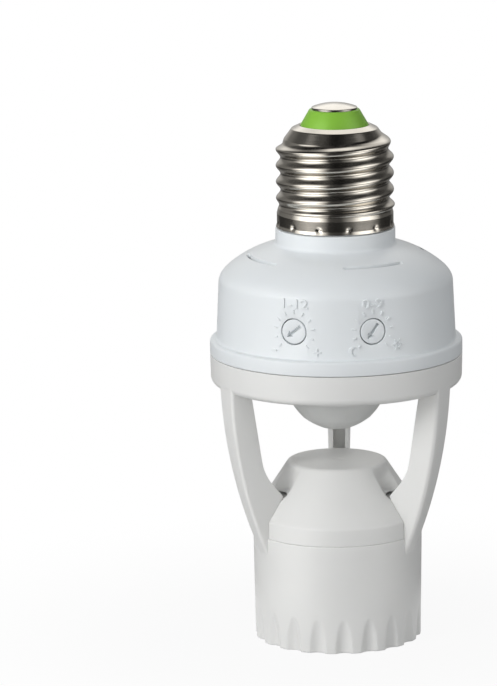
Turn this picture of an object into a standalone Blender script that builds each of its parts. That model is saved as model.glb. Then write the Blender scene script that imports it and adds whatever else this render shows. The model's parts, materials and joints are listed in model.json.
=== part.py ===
"""Motion sensor lamp holder: an E27 screw cap, a sensor housing, three open arms and a lamp socket.

All sizes are in metres. +Z is up, the origin is at the centre of the socket's mouth, and the
front with the two trim dials looks along -Y. Azimuths are in degrees, counter-clockwise from +X.
"""

import bpy
import bmesh
from math import acos, atan2, cos, exp, hypot, pi, radians, sin, sqrt, tan
from mathutils import Matrix, Vector

# Fits
GAP = 0.0003                # between pieces that touch
WALL = 0.0016               # moulded walls

# Sides of round pieces
SIDES = 36                  # ring, sleeve, housing and socket cap
CUP_SIDES = 28              # plate, lens, board and ceramic cup
CAP_END_SIDES = 24          # insulator and centre contact
KNOB_SIDES = 20             # dials, sensor can and dial holes
FLUTE_SIDES = 18
SMALL_SIDES = 12            # screws, bosses and wire holes
THREAD_SIDES = 28
THREAD_ROWS = 5             # rows of faces in one pitch
SOCKET_THREAD_SIDES = 20
SOCKET_THREAD_ROWS = 4
BACK_STEPS = 9              # along the outer face of an arm
CHANNEL_STEPS = 6

# Lamp socket sleeve
SLEEVE_HEIGHT = 0.02435
SLEEVE_TOP_R = 0.0188
SLEEVE_DRAFT = 0.0003       # the mouth is this much smaller in radius
SLEEVE_WALL = 0.0021
LIP_WIDTH = 0.0017
LIP_HEIGHT = 0.0014
FLUTE_COUNT = 20
FLUTE_HEIGHT = 0.0078
FLUTE_WIDTH = 0.0037
FLUTE_DEPTH = 0.0009
FLUTE_TURN = 5.3            # azimuth of one flute past the front
SLEEVE_MOUTH_R = SLEEVE_TOP_R - SLEEVE_DRAFT
SLEEVE_BORE_R = SLEEVE_TOP_R - SLEEVE_WALL
LIP_R = SLEEVE_BORE_R - LIP_WIDTH

# Socket cap, the cone that closes the sleeve between the arms
CAP_SETBACK = 0.0002        # the skirt is this much smaller than the sleeve
CAP_SKIRT_HEIGHT = 0.00385
CAP_CONE_HEIGHT = 0.0118
CAP_CONE_RUN = 0.00775      # from the skirt in to the disc
CAP_EDGE_R = 0.0012
VALLEY_DEPTH = 0.0007
VALLEY_WIDTH = 0.0040
CAP_FOOT = SLEEVE_HEIGHT + GAP
CAP_SKIRT_R = SLEEVE_TOP_R - CAP_SETBACK
CAP_SKIRT_TOP = SLEEVE_HEIGHT + CAP_SKIRT_HEIGHT
CAP_DISC_R = CAP_SKIRT_R - CAP_CONE_RUN
CAP_DISC_Z = CAP_SKIRT_TOP + CAP_CONE_HEIGHT

# Lower ring, the widest piece
WINDOW_HEIGHT = 0.0178      # from the disc up to the ring
RING_HEIGHT = 0.0067
RING_R = 0.02795
RING_DRAFT = 0.00015
RING_ROUND = 0.0018
RING_WALL = 0.00225
RING_LEDGE = 0.0057         # width of the floor inside the wall
RING_FLOOR = 0.0022
TONGUE_HEIGHT = 0.0014
TONGUE_WALL = 0.0008
RING_BOTTOM = CAP_DISC_Z + WINDOW_HEIGHT
RING_TOP = RING_BOTTOM + RING_HEIGHT
RING_FOOT_R = RING_R - RING_DRAFT
RING_BORE_R = RING_R - RING_WALL
RING_HOLE_R = RING_BORE_R - RING_LEDGE
RING_FLOOR_TOP = RING_BOTTOM + RING_FLOOR

# Arms
ARM_AZIMUTHS = (90.0, 210.0, 330.0)
WIRED_ARMS = {"left": 210.0, "right": 330.0}
ARM_TOP_WIDTH = 0.0058
ARM_FOOT_WIDTH = 0.0042
ARM_SETBACK = 0.0001        # the arms stand this much inside the ring's foot
ARM_TOP_DEPTH = 0.0049
ARM_BACK_RISE = 0.0052      # the outer face is furthest out this much above the ring's bottom
ARM_ROOT_DEPTH = 0.00515    # the outer face fades into the sleeve this much below its top
ARM_ROOT_SINK = 0.00073     # depth of its end inside the sleeve's wall
ARM_TIP_HEIGHT = 0.0056     # of the pointed inner end, above the cap's skirt
ARM_TIP_RUN = 0.0037
ARM_KNEE_SHARES = (0.5823, 0.2131)  # place of the knee on the way from the tip to the ring
ARM_KNEE_RADIUS = 0.012
ARM_WALL = 0.0015
ARM_ROUND = 0.0009
CHANNEL_WIDTH = 0.0027
COVER_THICKNESS = 0.0010
ARM_TOP_R = RING_FOOT_R - ARM_SETBACK
ARM_INNER_TOP_R = ARM_TOP_R - ARM_TOP_DEPTH
ARM_TIP = (CAP_SKIRT_R - ARM_TIP_RUN, CAP_SKIRT_TOP + ARM_TIP_HEIGHT)
ARM_KNEE = (ARM_TIP[0] + (ARM_INNER_TOP_R - ARM_TIP[0]) * ARM_KNEE_SHARES[0],
            ARM_TIP[1] + (RING_BOTTOM - ARM_TIP[1]) * ARM_KNEE_SHARES[1])
ARM_ROOT = (SLEEVE_TOP_R - ARM_ROOT_SINK, SLEEVE_HEIGHT - ARM_ROOT_DEPTH)
ARM_BACK_Z = RING_BOTTOM + ARM_BACK_RISE
ARM_BACK_CENTRE_R = ((ARM_TOP_R ** 2 + ARM_BACK_RISE ** 2 - ARM_ROOT[0] ** 2 - (ARM_ROOT[1] - ARM_BACK_Z) ** 2)
                     / (2 * (ARM_TOP_R - ARM_ROOT[0])))
ARM_BACK_RADIUS = hypot(ARM_TOP_R - ARM_BACK_CENTRE_R, ARM_BACK_RISE)

# Screw cap, E27
THREAD_PITCH = 0.00362
THREAD_CREST_R = 0.0131
THREAD_DEPTH = 0.0010
THREAD_LENGTH = 0.0158
THREAD_RISE = 0.0040        # from the neck up to the thread
THREAD_CREST_RISE = 0.0098  # from the thread's foot up to a crest at azimuth 180
CAP_SHELL_INSET = 0.00024   # the skirt of the shell is this much inside the crests
CAP_SHELL_FLARE = 0.0002
CAP_SHELL_WALL = 0.0004
CAP_SHOULDER_STEPS = ((0.0009, 0.0007), (0.0023, 0.0021), (0.0045, 0.0029))    # inwards and up
THREAD_ROOT_R = THREAD_CREST_R - THREAD_DEPTH
CAP_SHELL_R = THREAD_CREST_R - CAP_SHELL_INSET

# Upper housing
FLANGE_HEIGHT = 0.0030
FLANGE_ROUND = 0.0006
FLANGE_STEP = 0.00145       # from the flange in to the wall
BODY_HEIGHT = 0.01265
BODY_DRAFT = 0.0006
SHOULDER_RADIUS = 0.0235    # large curve of the domed shoulder
SHOULDER_END_ANGLE = 49.89  # where that curve passes into the small one
SHOULDER_BLEND = 0.0020     # width of the small curve
SHOULDER_RISE = 0.00341     # height of the small curve
NECK_STEP = 0.00038         # the neck is this much wider than the shell
NECK_WALL = 0.00324
NECK_HEIGHT = 0.00364
VENT_RUN = 0.00455          # from the end of the large curve in to the vents
VENT_WIDTH = 0.0013
VENT_ARC = 41.0
VENT_AZIMUTHS = (28.0, 118.0, 208.0, 298.0)
HOUSING_FOOT = RING_TOP + GAP
FLANGE_TOP = HOUSING_FOOT + FLANGE_HEIGHT
BODY_TOP = FLANGE_TOP + BODY_HEIGHT
BODY_FOOT_R = RING_R - FLANGE_STEP
BODY_TOP_R = BODY_FOOT_R - BODY_DRAFT
SHOULDER_END_R = BODY_TOP_R - SHOULDER_BLEND
SHOULDER_CENTRE = (SHOULDER_END_R - SHOULDER_RADIUS * cos(radians(SHOULDER_END_ANGLE)),
                   BODY_TOP + SHOULDER_RISE - SHOULDER_RADIUS * sin(radians(SHOULDER_END_ANGLE)))
NECK_R = CAP_SHELL_R + NECK_STEP
NECK_BORE_R = NECK_R - NECK_WALL
NECK_FOOT = SHOULDER_CENTRE[1] + sqrt(SHOULDER_RADIUS ** 2 - (NECK_R - SHOULDER_CENTRE[0]) ** 2)
NECK_TOP = NECK_FOOT + NECK_HEIGHT
VENT_R = SHOULDER_END_R - VENT_RUN

# Heights of the screw cap
THREAD_FOOT = NECK_TOP + THREAD_RISE
THREAD_TOP = THREAD_FOOT + THREAD_LENGTH
THREAD_CREST_Z = THREAD_FOOT + THREAD_CREST_RISE
CAP_SHOULDER = tuple((THREAD_ROOT_R - inwards, THREAD_TOP + up) for inwards, up in CAP_SHOULDER_STEPS)
CAP_SHELL_HOLE_R = CAP_SHOULDER[-1][0] - GAP
CAP_SHELL_FOOT = NECK_TOP + GAP
CAP_SHELL_TOP = CAP_SHOULDER[-1][1]
CAP_SHELL_STEP = THREAD_FOOT - 3 * CAP_SHELL_WALL

# Insulator and centre contact of the cap
INSULATOR_RIM = 0.0002      # the insulator covers this much of the shell's top
INSULATOR_TAPER = 0.0021
INSULATOR_HEIGHT = 0.0037
INSULATOR_SHANK = 0.0040
CONTACT_SETBACK = 0.0004
CONTACT_THICKNESS = 0.0006
CONTACT_STEM_R = 0.0014
CONTACT_STEM = 0.0070
INSULATOR_FOOT_R = CAP_SHELL_HOLE_R + INSULATOR_RIM
INSULATOR_TOP_R = INSULATOR_FOOT_R - INSULATOR_TAPER
INSULATOR_FOOT = CAP_SHELL_TOP + GAP
INSULATOR_TOP = INSULATOR_FOOT + INSULATOR_HEIGHT
CONTACT_R = INSULATOR_TOP_R - CONTACT_SETBACK
CONTACT_BOTTOM = INSULATOR_TOP + GAP

# Screws and bosses of the case
CASE_SCREW_AZIMUTHS = (30.0, 150.0, 270.0)
CASE_SCREW_SHANK_R = 0.0011
CASE_SCREW_HEAD_R = 0.0019
CASE_SCREW_HEAD = 0.0011
CASE_SCREW_LENGTH = 0.0085
BOSS_R = 0.0020
CASE_SCREW_R = RING_BORE_R - BOSS_R - GAP

# Trim dials
DIALS = {"time": (250.9, 219.0), "lux": (289.1, 234.0)}   # azimuth, pointing angle seen from outside
DIAL_RISE = 0.0062          # from the flange up to the dials
DIAL_RECESS = 0.0004        # the face is this much inside the foot of the wall
DIAL_R = 0.0027
DIAL_CLEARANCE = 0.00025
DIAL_COLLAR_R = 0.0035
DIAL_COLLAR = 0.0010
DIAL_SHAFT_R = 0.0015
DIAL_SLOT_DEPTH = 0.0008
DIAL_SLOT_WIDTH = 0.0009
DIAL_SLOT_LENGTH = 0.0042
DIAL_ARROW_WIDTH = 0.0026
DIAL_ARROW_LENGTH = 0.0016
DIAL_Z = FLANGE_TOP + DIAL_RISE
DIAL_HOLE_R = DIAL_R + DIAL_CLEARANCE
DIAL_FACE_R = BODY_FOOT_R - DIAL_RECESS

# Sensor plate and lens
PLATE_LAP = 0.0010          # the plate lies this far over the ring's floor
PLATE_THICKNESS = 0.0015
POST_R = 0.0016
POST_HEIGHT = 0.0035
LENS_SHARE = 0.565          # radius of the lens as a share of the ring's hole
LENS_RISE = 0.0005          # from the ring's bottom up to the lens's centre
LENS_WALL = 0.0008
LENS_FLANGE_WIDTH = 0.0017
LENS_FLANGE = 0.0010
PLATE_R = RING_HOLE_R + PLATE_LAP
PLATE_BOTTOM = RING_FLOOR_TOP + GAP
PLATE_TOP = PLATE_BOTTOM + PLATE_THICKNESS
LENS_R = RING_HOLE_R * LENS_SHARE
LENS_CENTRE_Z = RING_BOTTOM + LENS_RISE
LENS_FLANGE_R = LENS_R + LENS_FLANGE_WIDTH
POST_PLACE_R = (LENS_FLANGE_R + PLATE_R) / 2

# Lamp socket inside the sleeve
SOCKET_DROP = 0.0020        # from the sleeve's top down to the ceramic cup
SOCKET_FLOOR = 0.0032
SOCKET_CUP_WALL = 0.0017
SOCKET_SHELL_WALL = 0.0006
SOCKET_THREAD_DEPTH = 0.0009
SOCKET_SHELL_RISE = 0.0013  # from the cup's foot up to the shell's
SOCKET_HOLE_SHARE = 0.5556  # hole in the shell's top, as a share of its radius
LEAF_WIDTH_SHARE = 0.625    # sizes of the contact leaf, as shares of that hole
LEAF_TAIL_SHARE = 0.75
LEAF_THICKNESS = 0.0004
LEAF_DROP = 0.0026
TERMINAL_INSET = 0.0045     # from the sleeve's bore in to the terminals
TERMINAL_INNER_SHARE = 0.369
TERMINAL_SCREW_SHARE = 0.6557
TERMINAL_WIDTH = 0.0060
TERMINAL_THICKNESS = 0.0008
TERMINAL_SCREW_HEAD_R = 0.0021
TERMINAL_SCREW_HEAD = 0.0015
TERMINAL_SCREW_SHANK_R = 0.0011
TERMINAL_SCREW_SHANK = 0.0026
SOCKET_TOP = SLEEVE_HEIGHT - SOCKET_DROP
SOCKET_FOOT = LIP_HEIGHT + GAP
SOCKET_CUP_R = SLEEVE_BORE_R - GAP
SOCKET_CUP_BORE_R = SOCKET_CUP_R - SOCKET_CUP_WALL
SOCKET_SHELL_R = SOCKET_CUP_BORE_R - GAP
SOCKET_SHELL_FOOT = SOCKET_FOOT + SOCKET_SHELL_RISE
SOCKET_SHELL_HOLE_R = SOCKET_SHELL_R * SOCKET_HOLE_SHARE
SOCKET_FLOOR_BOTTOM = SOCKET_TOP - SOCKET_FLOOR
LEAF_WIDTH = SOCKET_SHELL_HOLE_R * LEAF_WIDTH_SHARE
LEAF_TAIL = SOCKET_SHELL_HOLE_R * LEAF_TAIL_SHARE
TERMINAL_OUTER_R = SLEEVE_BORE_R - TERMINAL_INSET
TERMINAL_INNER_R = TERMINAL_OUTER_R * TERMINAL_INNER_SHARE
TERMINAL_SCREW_PLACE_R = TERMINAL_OUTER_R * TERMINAL_SCREW_SHARE

# Circuit board and what it carries
BOARD_THICKNESS = 0.0016
SENSOR_SHARE = 0.363        # radius of the sensor's can, as a share of the lens
SENSOR_RIM = 0.0005
SENSOR_HEIGHT = 0.0038
PHOTOCELL_SHARE = 0.2124
PHOTOCELL_HEIGHT = 0.0022
TRIMMER_SIZE = (0.0070, 0.0036)     # across and along the radius
TRIMMER_RISE = 0.0037               # from the dials up to the trimmers' tops
RELAY_SIZE = (0.0180, 0.0110, 0.0135)
RELAY_PLACE = (-0.19, 0.095)       # places are shares of the board's radius
FILM_CAPACITOR_SIZE = (0.0170, 0.0060, 0.0105)
FILM_CAPACITOR_PLACE = (0.048, 0.643)
ELECTROLYTIC_R = 0.0040
ELECTROLYTIC_HEIGHT = 0.0110
ELECTROLYTIC_PLACE = (0.619, 0.048)
CHIP_SIZE = (0.0050, 0.0040, 0.0015)
CHIP_PLACE = (0.0, -0.476)
MOULDED_EDGE = 0.0003
CASE_EDGE = 0.0007
BOARD_R = PLATE_R
BOARD_BOTTOM = PLATE_TOP + POST_HEIGHT + GAP
BOARD_TOP = BOARD_BOTTOM + BOARD_THICKNESS
SENSOR_R = LENS_R * SENSOR_SHARE
SENSOR_RIM_R = SENSOR_R + SENSOR_RIM
PHOTOCELL_R = LENS_R * PHOTOCELL_SHARE
PHOTOCELL_PLACE = (LENS_R - LENS_WALL - PHOTOCELL_R - GAP, 0.0)
TRIMMER_TOP = DIAL_Z + TRIMMER_RISE

# Leads; a route up the neck is given as shares of its bore and of its height over the board
LEAD_R = 0.0007
CENTRE_ROUTE = ((0.0, 0.0, 1.0), (0.05, -0.10, 0.775), (0.20, -0.40, 0.543), (0.40, -0.70, 0.318),
                (0.55, -0.75, 0.160), (0.55, -0.75, 0.0))
SHELL_ROUTE = ((-0.4815, -0.9555, 0.867), (-0.50, -0.85, 0.678), (-0.40, -0.75, 0.453),
               (-0.55, -0.85, 0.273), (-0.55, -0.85, 0.0))
CHANNEL_HEIGHTS = (0.93, 0.69, 0.48, 0.263) # shares of the way from the sleeve up to the ring
LEAD_INSET = 0.0045         # from the board's edge in to the socket leads
LEAD_DROP = 0.0014
LEAD_NOTCH_RISE = 0.0030    # over the sleeve's top, where the leads turn inwards

for old in list(bpy.data.objects):
    bpy.data.objects.remove(old, do_unlink=True)


def material(name, colour, roughness, metallic=0.0):
    """A plain Principled material; colour is linear red, green, blue."""
    made = bpy.data.materials.new(name)
    made.use_nodes = True
    shader = made.node_tree.nodes["Principled BSDF"]
    shader.inputs["Base Color"].default_value = (*colour, 1.0)
    shader.inputs["Roughness"].default_value = roughness
    shader.inputs["Metallic"].default_value = metallic
    return made


COOL_WHITE = material("cool_white_plastic", (0.72, 0.75, 0.76), 0.35)
WARM_WHITE = material("warm_white_plastic", (0.70, 0.70, 0.68), 0.38)
MILKY = material("milky_lens_plastic", (0.68, 0.68, 0.66), 0.45)
GREEN = material("green_plastic", (0.20, 0.55, 0.04), 0.40)
NICKEL = material("nickel_plate", (0.66, 0.63, 0.58), 0.22, 1.0)
BRASS = material("brass", (0.70, 0.50, 0.22), 0.30, 1.0)
STEEL = material("zinc_plated_steel", (0.55, 0.56, 0.58), 0.35, 1.0)
CERAMIC = material("socket_ceramic", (0.62, 0.60, 0.56), 0.50)
BOARD = material("circuit_board", (0.04, 0.16, 0.06), 0.50)
BLACK = material("black_plastic", (0.02, 0.02, 0.02), 0.40)
BLUE = material("blue_plastic", (0.03, 0.10, 0.35), 0.40)
RED = material("red_insulation", (0.45, 0.02, 0.02), 0.45)
BROWN = material("photocell_ceramic", (0.30, 0.12, 0.05), 0.50)
YELLOW = material("yellow_plastic", (0.60, 0.35, 0.03), 0.40)


def turned(azimuth):
    """Rotation that takes +X to the given azimuth."""
    return Matrix.Rotation(radians(azimuth), 4, "Z")


def facing(azimuth):
    """Rotation that takes +Z outwards along the azimuth, +X to the right seen from outside, +Y up."""
    outward = Vector((cos(radians(azimuth)), sin(radians(azimuth)), 0.0))
    right = Vector((0.0, 0.0, 1.0)).cross(outward)
    return Matrix((right, (0.0, 0.0, 1.0), outward)).transposed().to_4x4()


def arc(centre, radius, start, end, steps):
    """Points of an arc in the (r, z) plane, from one angle in degrees to another, both included."""
    angles = [radians(start + (end - start) * i / steps) for i in range(steps + 1)]
    return [(centre[0] + radius * cos(a), centre[1] + radius * sin(a)) for a in angles]


def bend(start, control, end, steps):
    """Points of a quadratic curve after its start, end included."""
    points = []
    for i in range(1, steps + 1):
        t = i / steps
        weights = ((1 - t) ** 2, 2 * t * (1 - t), t * t)
        points.append(tuple(sum(w * p[k] for w, p in zip(weights, (start, control, end))) for k in (0, 1)))
    return points


def rounded(before, corner, after, radius, steps):
    """Points of a fillet of the given radius at a corner between two straight runs."""
    a = (Vector(before) - Vector(corner)).normalized()
    b = (Vector(after) - Vector(corner)).normalized()
    half = acos(max(-1.0, min(1.0, a.dot(b)))) / 2
    reach = radius / tan(half)
    centre = Vector(corner) + (a + b).normalized() * (radius / sin(half))
    first = Vector(corner) + a * reach - centre
    last = Vector(corner) + b * reach - centre
    points = []
    for i in range(steps + 1):
        spoke = first.normalized().slerp(last.normalized(), i / steps)
        points.append(tuple(centre + spoke.normalized() * radius))
    return points


def add_object(name, mesh, finish):
    """Put a mesh in the scene as a named piece, smooth on its round faces."""
    piece = bpy.data.objects.new(name, mesh)
    bpy.context.scene.collection.objects.link(piece)
    if finish is None:
        piece.hide_render = True
        piece.display_type = "WIRE"
    else:
        mesh.materials.append(finish)
        mesh.shade_smooth()
        mesh.set_sharp_from_angle(angle=radians(32))
    return piece


def to_object(name, bm, finish):
    """Turn a bmesh into a closed, outward-facing piece."""
    bmesh.ops.remove_doubles(bm, verts=bm.verts, dist=1e-7)
    bmesh.ops.dissolve_degenerate(bm, dist=1e-7, edges=bm.edges)
    bmesh.ops.recalc_face_normals(bm, faces=bm.faces)
    mesh = bpy.data.meshes.new(name)
    bm.to_mesh(mesh)
    bm.free()
    return add_object(name, mesh, finish)


def spin_profile(bm, profile, sides, closed=True):
    """Turn an (r, z) profile about Z; an open profile starts and ends on the axis."""
    verts = [bm.verts.new((r, 0.0, z)) for r, z in profile]
    pairs = list(zip(verts, verts[1:]))
    if closed:
        pairs.append((verts[-1], verts[0]))
    edges = [bm.edges.new(pair) for pair in pairs]
    bmesh.ops.spin(bm, geom=verts + edges, cent=(0, 0, 0), axis=(0, 0, 1), angle=2 * pi,
                   steps=sides, use_merge=True)


def lathe(name, profile, finish, sides=SIDES, closed=True, place=None):
    """A turned piece."""
    bm = bmesh.new()
    spin_profile(bm, profile, sides, closed)
    bmesh.ops.remove_doubles(bm, verts=bm.verts, dist=1e-7)
    if place is not None:
        bmesh.ops.transform(bm, matrix=place, verts=bm.verts)
    return to_object(name, bm, finish)


def prism(bm, outline, low, high, place=None):
    """Add an extruded (x, y) outline between two heights, and return its vertices."""
    verts = [bm.verts.new((x, y, low)) for x, y in outline]
    face = bm.faces.new(verts)
    grown = bmesh.ops.extrude_face_region(bm, geom=[face])["geom"]
    top = [item for item in grown if isinstance(item, bmesh.types.BMVert)]
    bmesh.ops.translate(bm, vec=(0, 0, high - low), verts=top)
    made = verts + top
    if place is not None:
        bmesh.ops.transform(bm, matrix=place, verts=made)
    return made


def rod(bm, radius, low, high, place=None, sides=SMALL_SIDES):
    """Add a straight cylinder about Z between two heights."""
    outline = [(radius * cos(2 * pi * i / sides), radius * sin(2 * pi * i / sides)) for i in range(sides)]
    return prism(bm, outline, low, high, place)


def stepped_hole(bm, profile, place):
    """Add a turned solid whose profile starts and ends on its axis, moved to its place."""
    before = set(bm.verts)
    spin_profile(bm, profile, SMALL_SIDES, closed=False)
    bmesh.ops.transform(bm, matrix=place, verts=[v for v in bm.verts if v not in before])


def combine(target, tool, operation):
    """Join or cut a piece with a hidden tool."""
    change = target.modifiers.new(operation.lower(), "BOOLEAN")
    change.operation = operation
    change.solver = "EXACT"
    change.object = tool


def block(name, size, place, finish, edge=MOULDED_EDGE, turn=None):
    """A box with softened edges; place is the centre of its bottom."""
    bm = bmesh.new()
    bmesh.ops.create_cube(bm, size=1.0)
    bmesh.ops.scale(bm, vec=size, verts=bm.verts)
    bmesh.ops.bevel(bm, geom=list(bm.edges), offset=edge, segments=2, profile=0.5, affect="EDGES",
                    material=-1)
    bmesh.ops.translate(bm, vec=(place[0], place[1], place[2] + size[2] / 2), verts=bm.verts)
    if turn is not None:
        bmesh.ops.transform(bm, matrix=turn, verts=bm.verts)
    return to_object(name, bm, finish)


def sleeve_outer_r(z):
    """Outer radius of the slightly drafted sleeve."""
    return SLEEVE_MOUTH_R + (SLEEVE_TOP_R - SLEEVE_MOUTH_R) * z / SLEEVE_HEIGHT


def arm_width(z):
    """Tangential width of an arm, wider towards the ring."""
    return ARM_FOOT_WIDTH + (ARM_TOP_WIDTH - ARM_FOOT_WIDTH) * (z - SLEEVE_HEIGHT) / (RING_BOTTOM - SLEEVE_HEIGHT)


def arm_back(inset, low, high, steps):
    """Points down the outer face of an arm, from the height high to low."""
    radius = ARM_BACK_RADIUS - inset
    centre = (ARM_BACK_CENTRE_R, ARM_BACK_Z)
    start = -acos(sqrt(1 - ((high - ARM_BACK_Z) / radius) ** 2)) * 180 / pi
    end = -acos(sqrt(1 - ((low - ARM_BACK_Z) / radius) ** 2)) * 180 / pi
    return arc(centre, radius, start, end, steps)


def arm_inner(shift, low, high):
    """Points up the inner edges of an arm, from its tip to the ring; shift moves them outwards."""
    foot = (ARM_TIP[0] + shift, ARM_TIP[1])
    knee = (ARM_KNEE[0] + shift, ARM_KNEE[1])
    top = (ARM_INNER_TOP_R + shift, RING_BOTTOM)
    slope = (top[0] - knee[0]) / (top[1] - knee[1])
    last = (knee[0] + slope * (high - knee[1]), high)
    lean = (knee[0] - foot[0]) / (knee[1] - foot[1])
    first = (knee[0] + lean * (low - knee[1]), low)
    return [first] + rounded(foot, knee, top, ARM_KNEE_RADIUS, 5) + [last]


def arm_outline():
    """The side view of an arm, from the ring down to its root in the sleeve wall."""
    inside_r = SLEEVE_BORE_R + SLEEVE_WALL / 3
    top_z = RING_FLOOR_TOP - GAP
    outline = arm_back(0.0, ARM_ROOT[1], top_z, BACK_STEPS)
    outline += [(inside_r, ARM_ROOT[1]), (inside_r, SLEEVE_HEIGHT + GAP)]
    return outline + arm_inner(0.0, ARM_TIP[1], top_z)


def fin(bm, outline, width, azimuth):
    """Add a plate standing on a radius; its outline is (r, z) and its width may change with z."""
    flat = Matrix(((1, 0, 0, 0), (0, 0, -1, 0), (0, 1, 0, 0), (0, 0, 0, 1)))
    verts = prism(bm, outline, -1.0, 1.0, flat)
    for vert in verts:
        vert.co.y *= width(vert.co.z) / 2
    bmesh.ops.transform(bm, matrix=turned(azimuth), verts=verts)


def round_back(bm):
    """Round the two long edges of an arm's outer face, while the arm still lies at azimuth 0."""
    far = ARM_BACK_RADIUS - ARM_ROUND / 10
    back = {v for v in bm.verts if hypot(v.co.x - ARM_BACK_CENTRE_R, v.co.z - ARM_BACK_Z) > far}
    edges = [e for e in bm.edges if back.issuperset(e.verts) and e.verts[0].co.y * e.verts[1].co.y > 0]
    bmesh.ops.bevel(bm, geom=edges, offset=ARM_ROUND, segments=3, profile=0.5, affect="EDGES", material=-1)


def ring_profile():
    """Section of the ring with its floor and the tongue that centres the housing."""
    tongue_r = RING_BORE_R + TONGUE_WALL
    corner = (RING_FOOT_R, RING_BOTTOM)
    bottom = rounded((RING_R, RING_TOP), corner, (RING_HOLE_R, RING_BOTTOM), RING_ROUND, 3)
    return [(RING_R, RING_TOP)] + bottom + [
        (RING_HOLE_R, RING_BOTTOM), (RING_HOLE_R, RING_FLOOR_TOP), (RING_BORE_R, RING_FLOOR_TOP),
        (RING_BORE_R, RING_TOP + TONGUE_HEIGHT), (tongue_r, RING_TOP + TONGUE_HEIGHT), (tongue_r, RING_TOP)]


def sleeve_profile():
    """Section of the socket sleeve with the lip that holds the socket in."""
    return [(SLEEVE_TOP_R, SLEEVE_HEIGHT), (sleeve_outer_r(FLUTE_HEIGHT), FLUTE_HEIGHT),
            (SLEEVE_MOUTH_R, 0.0), (LIP_R, 0.0), (LIP_R, LIP_HEIGHT),
            (SLEEVE_BORE_R, LIP_HEIGHT), (SLEEVE_BORE_R, SLEEVE_HEIGHT)]


def add_lower_frame():
    """Ring, three channelled arms and fluted sleeve, one moulding."""
    bm = bmesh.new()
    spin_profile(bm, ring_profile(), SIDES)
    spin_profile(bm, sleeve_profile(), SIDES)
    frame = to_object("lower_frame", bm, WARM_WHITE)

    for azimuth in ARM_AZIMUTHS:
        bm = bmesh.new()
        fin(bm, arm_outline(), arm_width, 0.0)
        round_back(bm)
        bmesh.ops.transform(bm, matrix=turned(azimuth), verts=bm.verts)
        combine(frame, to_object("arm_solid_%d" % azimuth, bm, None), "UNION")

    low = SLEEVE_HEIGHT + GAP
    channel = arm_back(ARM_WALL, low, RING_FLOOR_TOP + GAP, CHANNEL_STEPS)
    channel += [(ARM_TIP[0] - WALL, low)]
    channel += arm_inner(-WALL, ARM_TIP[1], RING_FLOOR_TOP + GAP)
    bm = bmesh.new()
    for azimuth in ARM_AZIMUTHS:
        fin(bm, channel, lambda z: CHANNEL_WIDTH, azimuth)
    combine(frame, to_object("channel_cutter", bm, None), "DIFFERENCE")

    round_r = (FLUTE_WIDTH / 2) ** 2 / (2 * FLUTE_DEPTH) + FLUTE_DEPTH / 2
    foot_r = SLEEVE_MOUTH_R - FLUTE_DEPTH + round_r
    lean = atan2(FLUTE_DEPTH + sleeve_outer_r(FLUTE_HEIGHT) - SLEEVE_MOUTH_R, FLUTE_HEIGHT)
    bm = bmesh.new()
    for i in range(FLUTE_COUNT):
        place = turned(270 + FLUTE_TURN + 360 * i / FLUTE_COUNT) @ Matrix.Translation((foot_r, 0, 0))
        place = place @ Matrix.Rotation(lean, 4, "Y")
        rod(bm, round_r, -FLUTE_WIDTH, FLUTE_HEIGHT * 2, place, FLUTE_SIDES)
    combine(frame, to_object("flute_cutter", bm, None), "DIFFERENCE")

    seat = RING_BOTTOM + CASE_SCREW_HEAD + GAP * 2
    bm = bmesh.new()
    for azimuth in CASE_SCREW_AZIMUTHS:
        place = turned(azimuth) @ Matrix.Translation((CASE_SCREW_R, 0, 0))
        stepped_hole(bm, [
            (0.0, RING_BOTTOM - GAP), (CASE_SCREW_HEAD_R + GAP, RING_BOTTOM - GAP), (CASE_SCREW_HEAD_R + GAP, seat),
            (CASE_SCREW_SHANK_R + GAP, seat), (CASE_SCREW_SHANK_R + GAP, RING_FLOOR_TOP + GAP),
            (0.0, RING_FLOOR_TOP + GAP)], place)
    combine(frame, to_object("case_screw_cutter", bm, None), "DIFFERENCE")


def shoulder():
    """Outer line of the housing from its neck over the domed shoulder to the wall."""
    start = acos((NECK_R - SHOULDER_CENTRE[0]) / SHOULDER_RADIUS) * 180 / pi
    points = arc(SHOULDER_CENTRE, SHOULDER_RADIUS, start, SHOULDER_END_ANGLE, 4)
    corner_z = points[-1][1] - SHOULDER_BLEND / tan(radians(SHOULDER_END_ANGLE))
    return points + bend(points[-1], (BODY_TOP_R, corner_z), (BODY_TOP_R, BODY_TOP), 3)


def housing_profile():
    """Section of the housing: spigot, neck, shoulder, wall and flange, and the same inside."""
    spigot_r = CAP_SHELL_R - CAP_SHELL_WALL - GAP
    spigot_top = CAP_SHELL_STEP - GAP
    outer = [(NECK_BORE_R, spigot_top), (spigot_r, spigot_top), (spigot_r, NECK_TOP), (NECK_R, NECK_TOP)]
    outer += shoulder()
    outer.append((BODY_FOOT_R, FLANGE_TOP))
    outer += rounded((BODY_FOOT_R, FLANGE_TOP), (RING_R, FLANGE_TOP), (RING_R, HOUSING_FOOT), FLANGE_ROUND, 2)
    outer.append((RING_R, HOUSING_FOOT))
    seat_r = RING_BORE_R + TONGUE_WALL + GAP
    seat_top = RING_TOP + TONGUE_HEIGHT + GAP
    inner_foot_r = BODY_FOOT_R - WALL
    inner = [(seat_r, HOUSING_FOOT), (seat_r, seat_top), (inner_foot_r, FLANGE_TOP - WALL / 2)]
    centre = SHOULDER_CENTRE
    inner_radius = SHOULDER_RADIUS - WALL
    inner_end_r = BODY_TOP_R - WALL - WALL
    inner.append((BODY_TOP_R - WALL, BODY_TOP - WALL))
    start = acos((inner_end_r - centre[0]) / inner_radius) * 180 / pi
    end = acos((NECK_BORE_R - centre[0]) / inner_radius) * 180 / pi
    return outer + inner + arc(centre, inner_radius, start, end, 3)


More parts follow.
